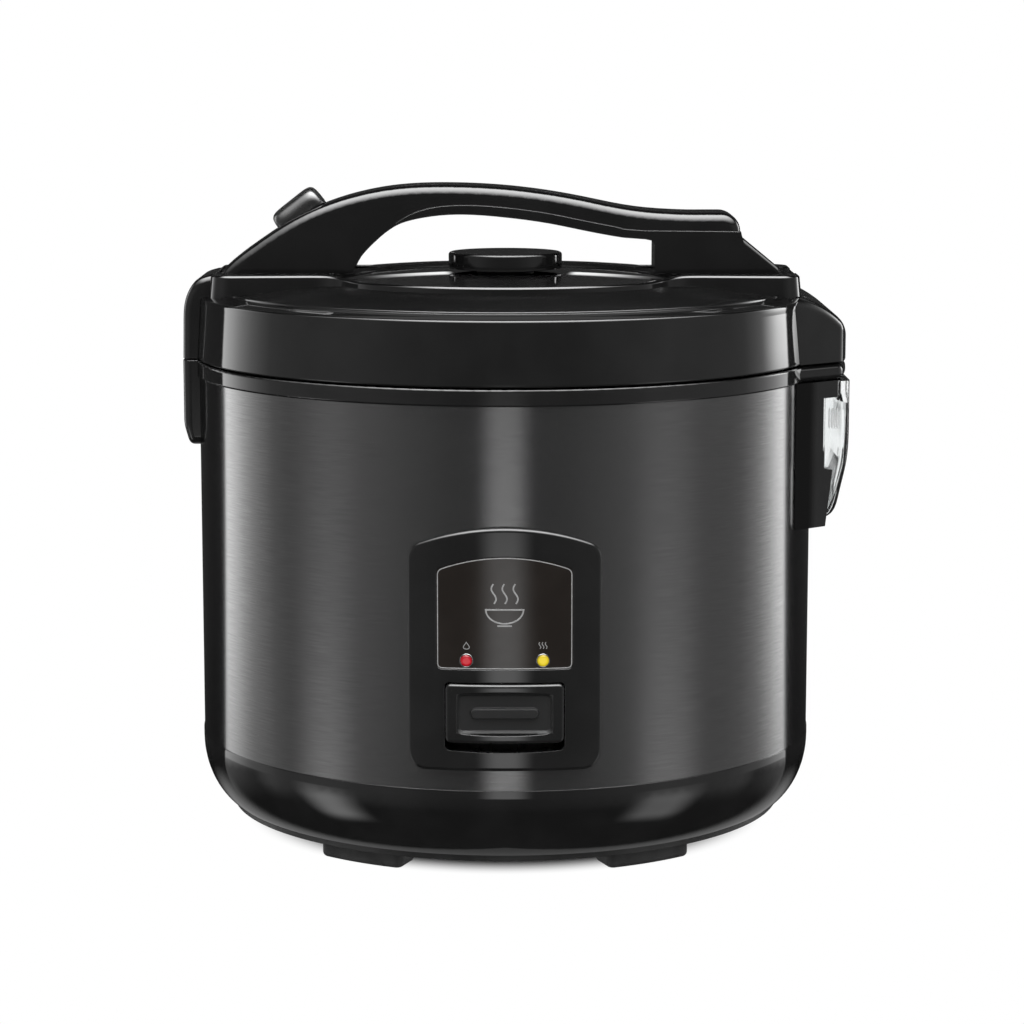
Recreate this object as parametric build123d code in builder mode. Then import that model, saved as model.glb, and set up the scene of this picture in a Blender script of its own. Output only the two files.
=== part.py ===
from build123d import *
import math
import os

os.makedirs("parts", exist_ok=True)

# Driving dimensions in millimetres. The body's axis is Z, the front faces -Y,
# the lid's hinge is at +X and the feet stand on Z = 0.

# General fits and walls
wall = 2.5
fit = 0.3
seat = 0.1
bearing = 0.05

# Body
jacket = 20.0
sheet = 0.8
foot_height = 6.5
foot_inset = 15.5
foot_width = 15.5
foot_span = 20.0
foot_turn = 31.5
peg_radius = 4.0
cover_band = 2.5
bowl_height = 28.7
bowl_round = 20.0
shell_height = 149.5
collar_height = 6.6
collar_proud = 0.8
deck_width = 38.0
screw_inset = 28.0
screw_radius = 1.5
screw_head = 3.0

# Pot and heater
pot_radius = 108.0
pot_sheet = 2.0
pot_lip = 8.5
pot_lift = 21.5
pot_corner = 18.0
liner_gap = 4.0
liner_sheet = 1.2
plate_inset = 23.0
plate_height = 14.6
plate_bore = 17.0
sensor_radius = 15.5
magnet_radius = 8.0
rod_radius = 2.0

# Cook lever
lever_pivot_y = -58.0
lever_drop = 9.7
lever_sheet = 1.5
lever_half = 5.0
pivot_radius = 1.5

# Control panel on the front
panel_half = 37.3
panel_low = 46.0
panel_side = 133.0
panel_high = 141.0
panel_proud = 3.0
inlay_half = 26.3
inlay_low = 86.0
inlay_side = 125.0
inlay_high = 130.0
inlay_depth = 0.8
lamp_x = 14.7
lamp_z = 89.6
lamp_radius = 2.3
key_half = 22.8
key_low = 57.6
key_high = 80.7
key_proud = 2.6
key_travel = 3.0
key_stem_half = 5.0

# Lid
seam = 0.8
band_height = 25.4
band_draft = 1.5
band_round = 1.2
lid_rise = 8.0
ring_width = 7.4
screw_clear_left = 6.1
screw_clear_right = 12.1
glass_radius = 67.9
glass_rise = 3.0
wing_half = 31.0
wing_end_half = 35.5
wing_inset = 7.5
wing_slope = 6.0
wing_corner = 9.0
bridge_step = 1.3
ledge = 11.5
cap_radius = 23.7
cap_height = 6.7
vent_bore = 6.1

# Handle
handle_half = 15.0
handle_round = 5.0

# Hinge, latch and cup
hinge_proud = 14.1
hinge_inset = 3.5
hinge_bow = 3.6
hinge_corner_y = 32.6
hinge_depth = 28.0
hinge_root_y = 64.5
hinge_round = 6.0
pin_radius = 1.5
barrel_radius = 3.1
knuckle_half = 8.0
notch_half = 12.3
latch_proud = 5.4
latch_half = 21.0
tongue_drop = 28.6
catch_grip = 2.0
cup_half = 31.0
cup_gap = 1.9
cup_drop = 57.7
cup_wall = 1.8

# Button
button_tilt = 38.0
button_inset = 35.6
button_rise = 23.6
button_long = 22.0
button_wide = 17.0
button_height = 7.6
button_travel = 3.0

# Radii, reaches and levels worked out from the sizes above
body_radius = pot_radius + jacket
pot_rim = pot_radius + pot_lip
liner_radius = pot_radius + liner_gap
plate_radius = pot_radius - plate_inset
foot_outer = body_radius - foot_inset
foot_inner = foot_outer - foot_width
deck_inner = body_radius - deck_width
screw_ring = body_radius - screw_inset
ring_radius = glass_radius + ring_width
bridge_end = body_radius - wing_inset
hinge_reach = body_radius + hinge_proud
hinge_x = hinge_reach - hinge_inset
hinge_corner_x = hinge_reach - hinge_bow
hinge_root_x = body_radius - hinge_depth
latch_reach = body_radius + latch_proud
cup_back = body_radius + cup_gap
button_x = -bridge_end + button_inset
z_cover = foot_height
z_bowl = z_cover + cover_band
z_shell = z_bowl + bowl_height
z_collar = z_shell + shell_height
z_seam = z_collar + collar_height
z_lid = z_seam + seam
z_band = z_lid + band_height
z_ring = z_band + lid_rise
z_bridge = z_ring + bridge_step
z_rim = z_collar + 2.0
collar_radius = body_radius + collar_proud
shell_inner = body_radius - sheet
panel_radius = body_radius + panel_proud
hinge_z = z_seam - collar_height / 2
pot_floor = z_shell + pot_lift
lever_level = z_shell - lever_drop
tongue_low = z_collar - tongue_drop
cup_low = z_collar - cup_drop
button_z = z_bridge + button_rise


def polar(radius, angle):
    return (radius * math.cos(math.radians(angle)), radius * math.sin(math.radians(angle)))


def arched(half, low, side, high, corner):
    """Outline of an upright plate with an arched top and rounded corners."""
    sides = Polyline((-half, side), (-half, low), (half, low), (half, side))
    top = ThreePointArc((half, side), (0, high), (-half, side))
    plate = make_face([*sides.edges(), top])
    return fillet(plate.vertices(), corner)


# Outlines that several pieces share
hinge_sides = Polyline(
    (hinge_corner_x, hinge_corner_y),
    (hinge_root_x, hinge_root_y),
    (hinge_root_x, -hinge_root_y),
    (hinge_corner_x, -hinge_corner_y),
)
hinge_arc = ThreePointArc(
    (hinge_corner_x, -hinge_corner_y), (hinge_reach, 0), (hinge_corner_x, hinge_corner_y)
)
hinge_column = make_face([*hinge_sides.edges(), hinge_arc])
hinge_column = fillet(hinge_column.vertices().sort_by(Axis.X)[-2:], 7)
panel_outline = arched(panel_half, panel_low, panel_side, panel_high, 7)
pocket_outline = arched(inlay_half, inlay_low, inlay_side, inlay_high, 2.2)
inlay_outline = arched(
    inlay_half - seat, inlay_low + seat, inlay_side - seat, inlay_high - seat, 2.1
)

# Feet
foot_angles = [-90 - foot_turn, -90 + foot_turn, 90 - foot_turn, 90 + foot_turn]
foot_middle = (foot_inner + foot_outer) / 2

with BuildPart() as one_foot:
    with BuildSketch() as foot_plan:
        with BuildLine():
            CenterArc((0, 0), foot_outer, -foot_span / 2, foot_span)
            CenterArc((0, 0), foot_inner, -foot_span / 2, foot_span)
            for side in (-1, 1):
                Line(polar(foot_inner, side * foot_span / 2), polar(foot_outer, side * foot_span / 2))
        make_face()
        fillet(foot_plan.vertices(), 3)
    extrude(amount=foot_height)
    fillet(one_foot.faces().sort_by(Axis.Z)[0].edges(), 2)
    with Locations((foot_middle, 0, foot_height)):
        Cylinder(peg_radius, cover_band - seat, align=(Align.CENTER, Align.CENTER, Align.MIN))

with BuildPart() as feet:
    with Locations(*[Location((0, 0, 0), (0, 0, angle)) for angle in foot_angles]):
        add(one_foot.part)

# Base bowl: an elliptical side that hangs from a deck, with bosses for the bottom cover
bowl_lip = wall + 0.7
bowl_radius = body_radius + 0.3
bowl_drop = bowl_height - bowl_lip + 3.0
bowl_centre = (bowl_radius - bowl_round, z_shell - bowl_lip)
bowl_sweep = math.degrees(math.asin((bowl_height - bowl_lip) / bowl_drop))
bowl_foot = bowl_centre[0] + bowl_round * math.cos(math.radians(bowl_sweep))
screw_angles = [-20, 20, 160, 200]
screw_points = [polar(screw_ring, angle) for angle in screw_angles]

with BuildPart() as base_bowl:
    with BuildSketch(Plane.XZ):
        with BuildLine():
            outer = EllipticalCenterArc(
                bowl_centre, bowl_round, bowl_drop, -bowl_sweep, arc_size=bowl_sweep
            )
            inner = EllipticalCenterArc(
                (bowl_centre[0] - wall, bowl_centre[1]),
                bowl_round,
                bowl_drop,
                -bowl_sweep,
                arc_size=bowl_sweep,
            )
            Line(outer @ 0, inner @ 0)
            Polyline(
                outer @ 1,
                (bowl_radius, z_shell),
                (deck_inner, z_shell),
                (deck_inner, z_shell - wall),
                (bowl_radius - wall, z_shell - wall),
                inner @ 1,
            )
        make_face()
    revolve(axis=Axis.Z)
    with BuildSketch(Plane.XY.offset(z_shell)):
        Circle(shell_inner - seat)
        Circle(shell_inner - seat - 2, mode=Mode.SUBTRACT)
    extrude(amount=5)
    with BuildSketch(Plane.XY.offset(z_bowl)):
        with Locations(*screw_points):
            Circle(4.5)
    extrude(amount=z_shell - wall - z_bowl)
    with BuildSketch(Plane.XY.offset(z_bowl)):
        with Locations(*screw_points):
            Circle(screw_radius + seat)
    extrude(amount=14, mode=Mode.SUBTRACT)
    with BuildSketch(Plane.XY.offset(z_shell - wall)):
        with Locations((0, -liner_radius - 7)):
            Rectangle(2 * key_stem_half + 3, 11.5)
    extrude(amount=wall, mode=Mode.SUBTRACT)

# Bottom cover with air slots
cover_radius = bowl_foot - 1.4
with BuildPart() as bottom_cover:
    with BuildSketch(Plane.XY.offset(z_cover)):
        Circle(cover_radius)
        with Locations(*[polar(foot_middle, angle) for angle in foot_angles]):
            Circle(peg_radius + seat, mode=Mode.SUBTRACT)
        with Locations(*screw_points):
            Circle(screw_radius + 0.2, mode=Mode.SUBTRACT)
        with PolarLocations(52, 16):
            SlotOverall(34, 4, mode=Mode.SUBTRACT)
    extrude(amount=cover_band)
    with BuildSketch(Plane.XY.offset(z_cover)):
        with Locations(*screw_points):
            Circle(screw_head + 0.2)
    extrude(amount=1.6, mode=Mode.SUBTRACT)

with BuildPart() as bottom_screws:
    with BuildSketch(Plane.XY.offset(z_cover)):
        with Locations(*screw_points):
            Circle(screw_head)
    extrude(amount=1.6)
    with BuildSketch(Plane.XY.offset(z_cover + 1.6)):
        with Locations(*screw_points):
            Circle(screw_radius)
    extrude(amount=12)

# Steel shell with the openings behind the panel and for the inlet
inlet_half = 16.0
inlet_low = 46.0
inlet_high = 70.0
with BuildPart() as outer_shell:
    with BuildSketch(Plane.XY.offset(z_shell)):
        Circle(body_radius)
        Circle(shell_inner, mode=Mode.SUBTRACT)
    extrude(amount=shell_height)
    with BuildSketch(Plane.XZ):
        with Locations((0, (panel_low + panel_side) / 2)):
            Rectangle(2 * panel_half - 14, panel_side - panel_low - 12)
    extrude(amount=body_radius + 5, mode=Mode.SUBTRACT)
    with BuildSketch(Plane.XZ):
        with Locations((0, (inlet_low + inlet_high) / 2)):
            Rectangle(2 * inlet_half + 0.4, inlet_high - inlet_low + 0.4)
    extrude(amount=-body_radius - 5, mode=Mode.SUBTRACT)

# Hinge column as a plain form, used by the collar, the lid and the cup holder
with BuildPart() as lug_form:
    with BuildSketch(Plane.XY.offset(z_collar)):
        add(hinge_column)
    extrude(amount=collar_height)
    fillet(lug_form.edges().filter_by(Plane.XY).filter_by(lambda e: e.center().X > hinge_root_x + 1), 2.9)

# Collar: rim that carries the pot, with the hinge lug and the catch slot
skirt = shell_inner - seat
catch_edge = pot_rim + catch_grip
catch_far = body_radius - 0.7
slot_x = body_radius + 4.0
with BuildPart() as collar:
    with BuildSketch(Plane.XZ):
        with BuildLine():
            Polyline(
                (collar_radius, z_collar),
                (collar_radius, z_seam),
                (pot_rim + 0.6, z_seam),
                (pot_rim + 0.6, z_rim),
                (pot_radius + 3, z_rim),
                (pot_radius + 3, z_collar - 0.5),
                (skirt - wall, z_collar - 0.5),
                (skirt - wall, z_collar - 6),
                (skirt, z_collar - 6),
                (skirt, z_collar),
                close=True,
            )
        make_face()
    revolve(axis=Axis.Z)
    fillet(
        collar.edges().filter_by(GeomType.CIRCLE).filter_by(lambda e: abs(e.radius - collar_radius) < 0.01),
        0.7,
    )
    with BuildPart(mode=Mode.PRIVATE) as lug:
        add(lug_form.part)
        with Locations((0, 0, z_collar - 1)):
            Cylinder(
                body_radius - 1,
                collar_height + 2,
                align=(Align.CENTER, Align.CENTER, Align.MIN),
                mode=Mode.SUBTRACT,
            )
    add(lug.part)
    with Locations((hinge_x + 6, 0, hinge_z)):
        Box(20, 2 * notch_half, collar_height + 1, mode=Mode.SUBTRACT)
    with Locations((hinge_x, 0, hinge_z)):
        Cylinder(pin_radius + 0.02, 40.2, rotation=(90, 0, 0), mode=Mode.SUBTRACT)
    with Locations((slot_x, 17, hinge_z)):
        Cylinder(2.2, collar_height + 2, mode=Mode.SUBTRACT)
    with Locations((-(catch_edge + catch_far) / 2, 0, z_collar + 1)):
        Box(catch_far - catch_edge, 16, 18, mode=Mode.SUBTRACT)

with BuildPart() as hinge_pin:
    with Locations((hinge_x, 0, hinge_z)):
        Cylinder(pin_radius, 40, rotation=(90, 0, 0))

# Catch tongue on the left of the body
tongue_root = body_radius - 10
tongue_round = 3.6
with BuildPart() as catch_tongue:
    with BuildSketch(Plane.XZ):
        with BuildLine():
            Polyline(
                (-latch_reach - 0.1, tongue_low + 11),
                (-latch_reach - 0.1, z_seam),
                (-tongue_root, z_seam),
                (-tongue_root, tongue_low),
                (-body_radius - 0.9, tongue_low),
            )
            Spline(
                (-body_radius - 0.9, tongue_low),
                (-latch_reach + 1.3, tongue_low + 3.4),
                (-latch_reach - 0.1, tongue_low + 11),
                tangents=[(-1, 0), (0, 1)],
            )
        make_face()
    extrude(amount=latch_half, both=True)
    fillet(
        catch_tongue.edges().filter_by(
            lambda e: abs(abs(e.center().Y) - latch_half) < 0.01
            and e.center().X < -tongue_root - 1
            and e.center().Z < z_seam - 1
        ),
        tongue_round,
    )
    with Locations((0, 0, tongue_low - 1)):
        Cylinder(
            body_radius,
            shell_height,
            align=(Align.CENTER, Align.CENTER, Align.MIN),
            mode=Mode.SUBTRACT,
        )
    with Locations((0, 0, z_collar - seat)):
        Cylinder(
            collar_radius,
            collar_height + 2,
            align=(Align.CENTER, Align.CENTER, Align.MIN),
            mode=Mode.SUBTRACT,
        )

# Liner that keeps the heat in, and the inner pot
with BuildPart() as heat_liner:
    with BuildSketch(Plane.XZ):
        with BuildLine():
            Polyline(
                (40, z_shell),
                (liner_radius, z_shell),
                (liner_radius, z_collar - 0.5 - liner_sheet),
                (liner_radius + 4.5, z_collar - 0.5 - liner_sheet),
                (liner_radius + 4.5, z_collar - 0.5),
                (liner_radius - liner_sheet, z_collar - 0.5),
                (liner_radius - liner_sheet, z_shell + liner_sheet),
                (40, z_shell + liner_sheet),
                close=True,
            )
        make_face()
    revolve(axis=Axis.Z)

with BuildPart() as inner_pot:
    with BuildSketch(Plane.XZ) as pot_half:
        with BuildLine():
            Polyline(
                (0, pot_floor),
                (pot_radius, pot_floor),
                (pot_radius, z_rim),
                (pot_rim, z_rim),
                (pot_rim, z_rim + 1.6),
                (pot_radius - pot_sheet, z_rim + 1.6),
                (pot_radius - pot_sheet, pot_floor + pot_sheet),
                (0, pot_floor + pot_sheet),
                close=True,
            )
        make_face()
        corner = pot_half.vertices().filter_by(lambda v: v.X > pot_radius - 4 and v.Y < pot_floor + 4)
        fillet(corner, pot_corner)
    revolve(axis=Axis.Z)

# Heating plate on three legs
plate_top = pot_floor - fit
plate_low = plate_top - plate_height
with BuildPart() as heating_plate:
    with BuildSketch(Plane.XY.offset(plate_low)):
        Circle(plate_radius)
        Circle(plate_bore, mode=Mode.SUBTRACT)
    extrude(amount=plate_height)
    fillet(heating_plate.faces().sort_by(Axis.Z)[-1].outer_wire().edges(), 4)

liner_floor = z_shell + liner_sheet
with BuildPart() as plate_legs:
    with BuildSketch(Plane.XY.offset(liner_floor)):
        with PolarLocations(plate_radius - 15, 3, start_angle=90):
            Circle(4)
    extrude(amount=plate_low - liner_floor)

with BuildPart() as heater_terminals:
    with BuildSketch(Plane.XY.offset(plate_low - 3)):
        with Locations((30 - plate_radius, 30), (plate_radius - 30, 30)):
            Circle(2.5)
    extrude(amount=3)

# Thermostat: guide, spring, sensor cap and ferrite, with the magnet on its rod
guide_top = liner_floor + 1.2
sensor_low = plate_low + 0.9
with BuildPart() as sensor_guide:
    with BuildSketch(Plane.XY.offset(liner_floor)):
        Circle(46)
        Circle(magnet_radius + 1, mode=Mode.SUBTRACT)
    extrude(amount=1.2)

with BuildPart() as sensor_cap:
    with BuildSketch(Plane.XY.offset(sensor_low)):
        Circle(sensor_radius)
    extrude(amount=plate_top - sensor_low)
    fillet(sensor_cap.faces().sort_by(Axis.Z)[-1].edges(), 1)
    with BuildSketch(Plane.XY.offset(sensor_low)):
        Circle(sensor_radius - 1.6)
    extrude(amount=plate_top - sensor_low - 1.4, mode=Mode.SUBTRACT)

with BuildPart() as ferrite:
    with BuildSketch(Plane.XY.offset(plate_top - 1.4 - 8.5)):
        Circle(9)
    extrude(amount=8.5)

spring_wire = 0.45
spring_low = guide_top + 0.1 + spring_wire
spring_high = sensor_low - 0.1 - spring_wire
with BuildPart() as sensor_spring:
    with BuildLine():
        coil = Helix((spring_high - spring_low) / 2.5, spring_high - spring_low, sensor_radius - 1.2,
                     center=(0, 0, spring_low))
    with BuildSketch(Plane(coil @ 0, z_dir=coil % 0)):
        Circle(spring_wire)
    sweep(is_frenet=True)

lever_top = lever_level + lever_sheet
magnet_low = guide_top - 4.0
with BuildPart() as magnet_rod:
    with BuildSketch(Plane.XY.offset(lever_top + 0.5)):
        Circle(5)
    extrude(amount=1.2)
    with BuildSketch(Plane.XY.offset(lever_top + 1.7)):
        Circle(rod_radius)
    extrude(amount=magnet_low - lever_top - 1.7)

with BuildPart() as magnet:
    with BuildSketch(Plane.XY.offset(magnet_low)):
        Circle(magnet_radius)
    extrude(amount=5)

# Cook lever, its pin and the bracket under the liner
pivot_z = lever_level + lever_sheet / 2
stem_y = -liner_radius - 7
lever_front = -liner_radius - 9
with BuildPart() as cook_lever:
    with BuildSketch(Plane.XY.offset(lever_level)):
        with Locations((0, (lever_front + 3) / 2)):
            SlotOverall(3 - lever_front, 2 * lever_half, rotation=90)
    extrude(amount=lever_sheet)
    with Locations((0, lever_pivot_y, pivot_z)):
        Cylinder(3, 2 * lever_half, rotation=(0, 90, 0))
        Cylinder(pivot_radius + bearing, 2 * lever_half + 2, rotation=(0, 90, 0), mode=Mode.SUBTRACT)

with BuildPart() as lever_bracket:
    with Locations((0, lever_pivot_y, z_shell - 0.6)):
        Box(18.4, 12, 1.2)
    for side in (-1, 1):
        with Locations((side * 8.5, lever_pivot_y, (z_shell + pivot_z - 4) / 2)):
            Box(1.4, 12, z_shell - pivot_z + 4)
    with Locations((0, lever_pivot_y, pivot_z)):
        Cylinder(pivot_radius + 0.02, 24, rotation=(0, 90, 0), mode=Mode.SUBTRACT)

with BuildPart() as lever_pin:
    with Locations((0, lever_pivot_y, pivot_z)):
        Cylinder(pivot_radius, 20, rotation=(0, 90, 0))

with BuildPart() as cook_switch:
    with Locations((13, stem_y + 17, z_shell - wall - 5)):
        Box(6.5, 18, 10)
    with Locations((13, stem_y + 21, z_shell - wall - 10.6)):
        Cylinder(1.2, 1.4)

# Control panel, bent round the shell
lens_depth = 3.2
with BuildPart() as panel_sleeve:
    with BuildSketch(Plane.XY.offset(panel_low - 5)):
        Circle(panel_radius)
        Circle(body_radius, mode=Mode.SUBTRACT)
    extrude(amount=panel_high - panel_low + 10)

with BuildPart() as inlay_sleeve:
    with BuildSketch(Plane.XY.offset(panel_low - 5)):
        Circle(panel_radius + 2)
        Circle(panel_radius - inlay_depth, mode=Mode.SUBTRACT)
    extrude(amount=panel_high - panel_low + 10)

with BuildPart() as inlay_pocket:
    with BuildSketch(Plane.XZ):
        add(pocket_outline)
    extrude(amount=panel_radius + 5)
    add(inlay_sleeve.part, mode=Mode.INTERSECT)

with BuildPart() as control_panel:
    with BuildSketch(Plane.XZ):
        add(panel_outline)
    extrude(amount=panel_radius + 5)
    add(panel_sleeve.part, mode=Mode.INTERSECT)
    fillet(control_panel.faces().sort_by(Axis.Y)[0].edges(), 1.4)
    add(inlay_pocket.part, mode=Mode.SUBTRACT)
    for side in (-1, 1):
        with Locations((side * lamp_x, -body_radius + 4.1, lamp_z)):
            Cylinder(3.6, 10, rotation=(90, 0, 0))
    with BuildSketch(Plane.XZ):
        with Locations((-lamp_x, lamp_z), (lamp_x, lamp_z)):
            Circle(lamp_radius + seat)
    extrude(amount=panel_radius + 5, mode=Mode.SUBTRACT)
    with BuildSketch(Plane.XZ) as key_hole:
        with BuildLine():
            Polyline(
                (-key_half - fit, key_low - key_travel - fit),
                (-key_half - fit, key_high + fit),
                (key_half + fit, key_high + fit),
                (key_half + fit, key_low - key_travel - fit),
            )
            ThreePointArc(
                (-key_half - fit, key_low - key_travel - fit),
                (0, key_low - key_travel - 1.2),
                (key_half + fit, key_low - key_travel - fit),
            )
        make_face()
        fillet(key_hole.vertices(), 2.0)
    extrude(amount=panel_radius + 5, mode=Mode.SUBTRACT)

with BuildPart() as panel_inlay:
    with BuildSketch(Plane.XZ):
        add(inlay_outline)
        with Locations((-lamp_x, lamp_z), (lamp_x, lamp_z)):
            Circle(lamp_radius + seat, mode=Mode.SUBTRACT)
    extrude(amount=panel_radius + 5)
    with BuildSketch(Plane.XY.offset(panel_low)):
        Circle(panel_radius - 0.2)
        Circle(panel_radius - inlay_depth, mode=Mode.SUBTRACT)
    extrude(amount=panel_high - panel_low, mode=Mode.INTERSECT)

lens_face = math.sqrt((panel_radius + 0.4) ** 2 - lamp_x**2)
with BuildPart() as cook_lens:
    with BuildSketch(Plane.XZ.offset(lens_face - lens_depth)):
        with Locations((-lamp_x, lamp_z)):
            Circle(lamp_radius)
    extrude(amount=lens_depth)
    fillet(cook_lens.faces().sort_by(Axis.Y)[0].edges(), 0.9)

with BuildPart() as warm_lens:
    with BuildSketch(Plane.XZ.offset(lens_face - lens_depth)):
        with Locations((lamp_x, lamp_z)):
            Circle(lamp_radius)
    extrude(amount=lens_depth)
    fillet(warm_lens.faces().sort_by(Axis.Y)[0].edges(), 0.9)

with BuildPart() as lamps:
    with BuildSketch(Plane.XZ.offset(lens_face - lens_depth - 7)):
        with Locations((-lamp_x, lamp_z), (lamp_x, lamp_z)):
            Circle(lamp_radius - 0.2)
    extrude(amount=7)

# Cook key: dished face with a finger rib, and the stem that works the lever
key_radius = panel_radius + key_proud
with BuildPart() as cook_key:
    with BuildSketch(Plane.XZ):
        with Locations((0, (key_low + key_high) / 2)):
            RectangleRounded(2 * key_half, key_high - key_low, 2.2)
    extrude(amount=key_radius + 5)
    with BuildSketch(Plane.XY.offset(key_low - 5)):
        Circle(key_radius)
        Circle(panel_radius - 1.5, mode=Mode.SUBTRACT)
    extrude(amount=key_high - key_low + 10, mode=Mode.INTERSECT)
    fillet(cook_key.faces().sort_by(Axis.Y)[0].edges(), 1.2)
    with BuildSketch(Plane.XZ.offset(key_radius - 2.6)):
        with Locations((0, (key_low + key_high) / 2)):
            RectangleRounded(2 * key_half - 10.6, key_high - key_low - 9.4, 1.6)
    extrude(amount=4, taper=-35, mode=Mode.SUBTRACT)
    with BuildSketch(Plane.XZ.offset(key_radius - 2.8)):
        with Locations((0, (key_low + key_high) / 2)):
            SlotOverall(26.6, 4.4)
    extrude(amount=1.7, taper=14)
    with Locations((0, (stem_y + 3 - panel_radius + 1.5) / 2, key_low + 8)):
        Box(2 * key_stem_half, panel_radius - 1.0 + stem_y + 3, 8)
    with Locations((0, stem_y, (lever_top + 0.5 + key_low + 12) / 2)):
        Box(2 * key_stem_half, 6, key_low + 12 - lever_top - 0.5)

# Power inlet at the back, with three pins
inlet_back = liner_radius + 1.6
inlet_face = body_radius + 3.0
with BuildPart() as power_inlet:
    with BuildSketch(Plane.XZ.offset(-inlet_back)):
        with Locations((0, (inlet_low + inlet_high) / 2)):
            RectangleRounded(2 * inlet_half, inlet_high - inlet_low, 2)
    extrude(amount=inlet_back - inlet_face)
    with BuildSketch(Plane.XZ.offset(-body_radius - 0.2)):
        with Locations((0, (inlet_low + inlet_high) / 2)):
            RectangleRounded(2 * inlet_half + 8, inlet_high - inlet_low + 8, 4)
    extrude(amount=body_radius + 0.2 - inlet_face)
    with BuildSketch(Plane.XZ.offset(-inlet_back - 2)):
        with Locations((0, (inlet_low + inlet_high) / 2)):
            RectangleRounded(25, 17, 3)
    extrude(amount=-30, mode=Mode.SUBTRACT)

with BuildPart() as inlet_pins:
    with BuildSketch(Plane.XZ.offset(-inlet_back - 2)):
        with Locations((-7, inlet_low + 9.5), (7, inlet_low + 9.5), (0, inlet_low + 14.5)):
            Rectangle(2, 4)
    extrude(amount=-9)

# Lid band: the upright outer ring of the lid
ledge_rise = 1.6
with BuildPart() as lid_band:
    with BuildSketch(Plane.XZ):
        with BuildLine():
            edge = Line((collar_radius, z_lid), (collar_radius - band_draft, z_band - band_round))
            TangentArc(edge @ 1, (collar_radius - band_draft - band_round, z_band), tangent=edge % 1)
            Polyline(
                (collar_radius - band_draft - band_round, z_band),
                (collar_radius - ledge, z_band + ledge_rise),
                (collar_radius - ledge, z_band - 0.9),
                (collar_radius - ledge - 3, z_band - 0.9),
                (collar_radius - ledge - 3, z_band - 3.4),
                (collar_radius - 5, z_band - 3.4),
                (collar_radius - wall, z_lid),
                (collar_radius, z_lid),
            )
        make_face()
    revolve(axis=Axis.Z)
    fillet(
        lid_band.edges().filter_by(GeomType.CIRCLE).filter_by(
            lambda e: abs(e.radius - collar_radius) < 0.01
        ),
        0.7,
    )
    with Locations((-catch_edge - 0.1, 0, z_band)):
        Box(11.8, 14, 20, mode=Mode.SUBTRACT)

latch_x = -body_radius + 20

# Solid envelope of the lid's outside, to trim what sits against it
with BuildPart() as lid_envelope:
    with BuildSketch(Plane.XZ):
        with BuildLine():
            flank = Line((collar_radius, z_lid), (collar_radius - band_draft, z_band - band_round))
            TangentArc(flank @ 1, (collar_radius - band_draft - band_round, z_band), tangent=flank % 1)
            Polyline(
                (collar_radius - band_draft - band_round, z_band),
                (collar_radius - ledge, z_band + ledge_rise),
                (0, z_band + ledge_rise),
                (0, z_lid - 2),
                (collar_radius, z_lid - 2),
                (collar_radius, z_lid),
            )
        make_face()
    revolve(axis=Axis.Z)

# Bridge that carries the handle across the lid, wider towards its ends
bridge_deep = z_bridge - z_band + 0.9
with BuildPart() as bridge_form:
    with BuildSketch(Plane.XY.offset(z_bridge)) as bridge_plan:
        with BuildLine():
            Polyline(
                (-bridge_end, -wing_end_half),
                (0, -wing_half + 4),
                (bridge_end, -wing_end_half),
                (bridge_end, wing_end_half),
                (0, wing_half - 4),
                (-bridge_end, wing_end_half),
                close=True,
            )
        make_face()
        fillet(bridge_plan.vertices().filter_by(lambda v: abs(v.X) > 1), wing_corner)
    extrude(amount=-bridge_deep, taper=-wing_slope)
    fillet(bridge_form.faces().sort_by(Axis.Z)[-1].edges(), 1.4)

# Lid cover: gently domed top with a raised ring for the glass and the bridge
glass_seat = z_ring - 5.6
cover_edge = collar_radius - ledge - 0.2
with BuildPart() as lid_cover:
    with BuildSketch(Plane.XZ):
        with BuildLine():
            dome = ThreePointArc(
                (cover_edge, z_band + 1.2),
                ((cover_edge + ring_radius) / 2, z_band + lid_rise * 0.5),
                (ring_radius + 1.0, z_ring - 2.2),
            )
            Polyline(
                (ring_radius + 1.0, z_ring - 2.2),
                (ring_radius + 0.8, z_ring - 0.5),
                (ring_radius + 0.3, z_ring),
                (ring_radius - 5.4, z_ring - 0.2),
                (glass_radius + 0.3, z_ring - 1.4),
                (glass_radius + 0.3, glass_seat),
                (glass_radius - 5.4, glass_seat),
                (glass_radius - 5.4, glass_seat - 2),
                (ring_radius + 1.5, glass_seat - 2),
                (ring_radius + 2.5, z_ring - 4.4),
                (cover_edge - 5.6, z_band - 0.9),
                (cover_edge, z_band - 0.9),
                (cover_edge, z_band + 1.2),
            )
        make_face()
    revolve(axis=Axis.Z)
    with BuildPart(mode=Mode.PRIVATE) as bridge:
        add(bridge_form.part)
        with Locations((0, 0, z_band - 5)):
            Cylinder(
                ring_radius - 1, 30, align=(Align.CENTER, Align.CENTER, Align.MIN), mode=Mode.SUBTRACT
            )
        add(lid_envelope.part.moved(Location((0, 0, fit))), mode=Mode.SUBTRACT)
    add(bridge.part)
    with Locations((-body_radius + 27, 0, z_band + 2)):
        Box(46, 14, 30, mode=Mode.SUBTRACT)
    for side in (-1, 1):
        with Locations((latch_x, side * 8, z_band - 1)):
            Box(9, 3, 12)
    with Locations((latch_x, 0, z_band - 4)):
        Cylinder(pin_radius + 0.02, 40, rotation=(90, 0, 0), mode=Mode.SUBTRACT)

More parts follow.
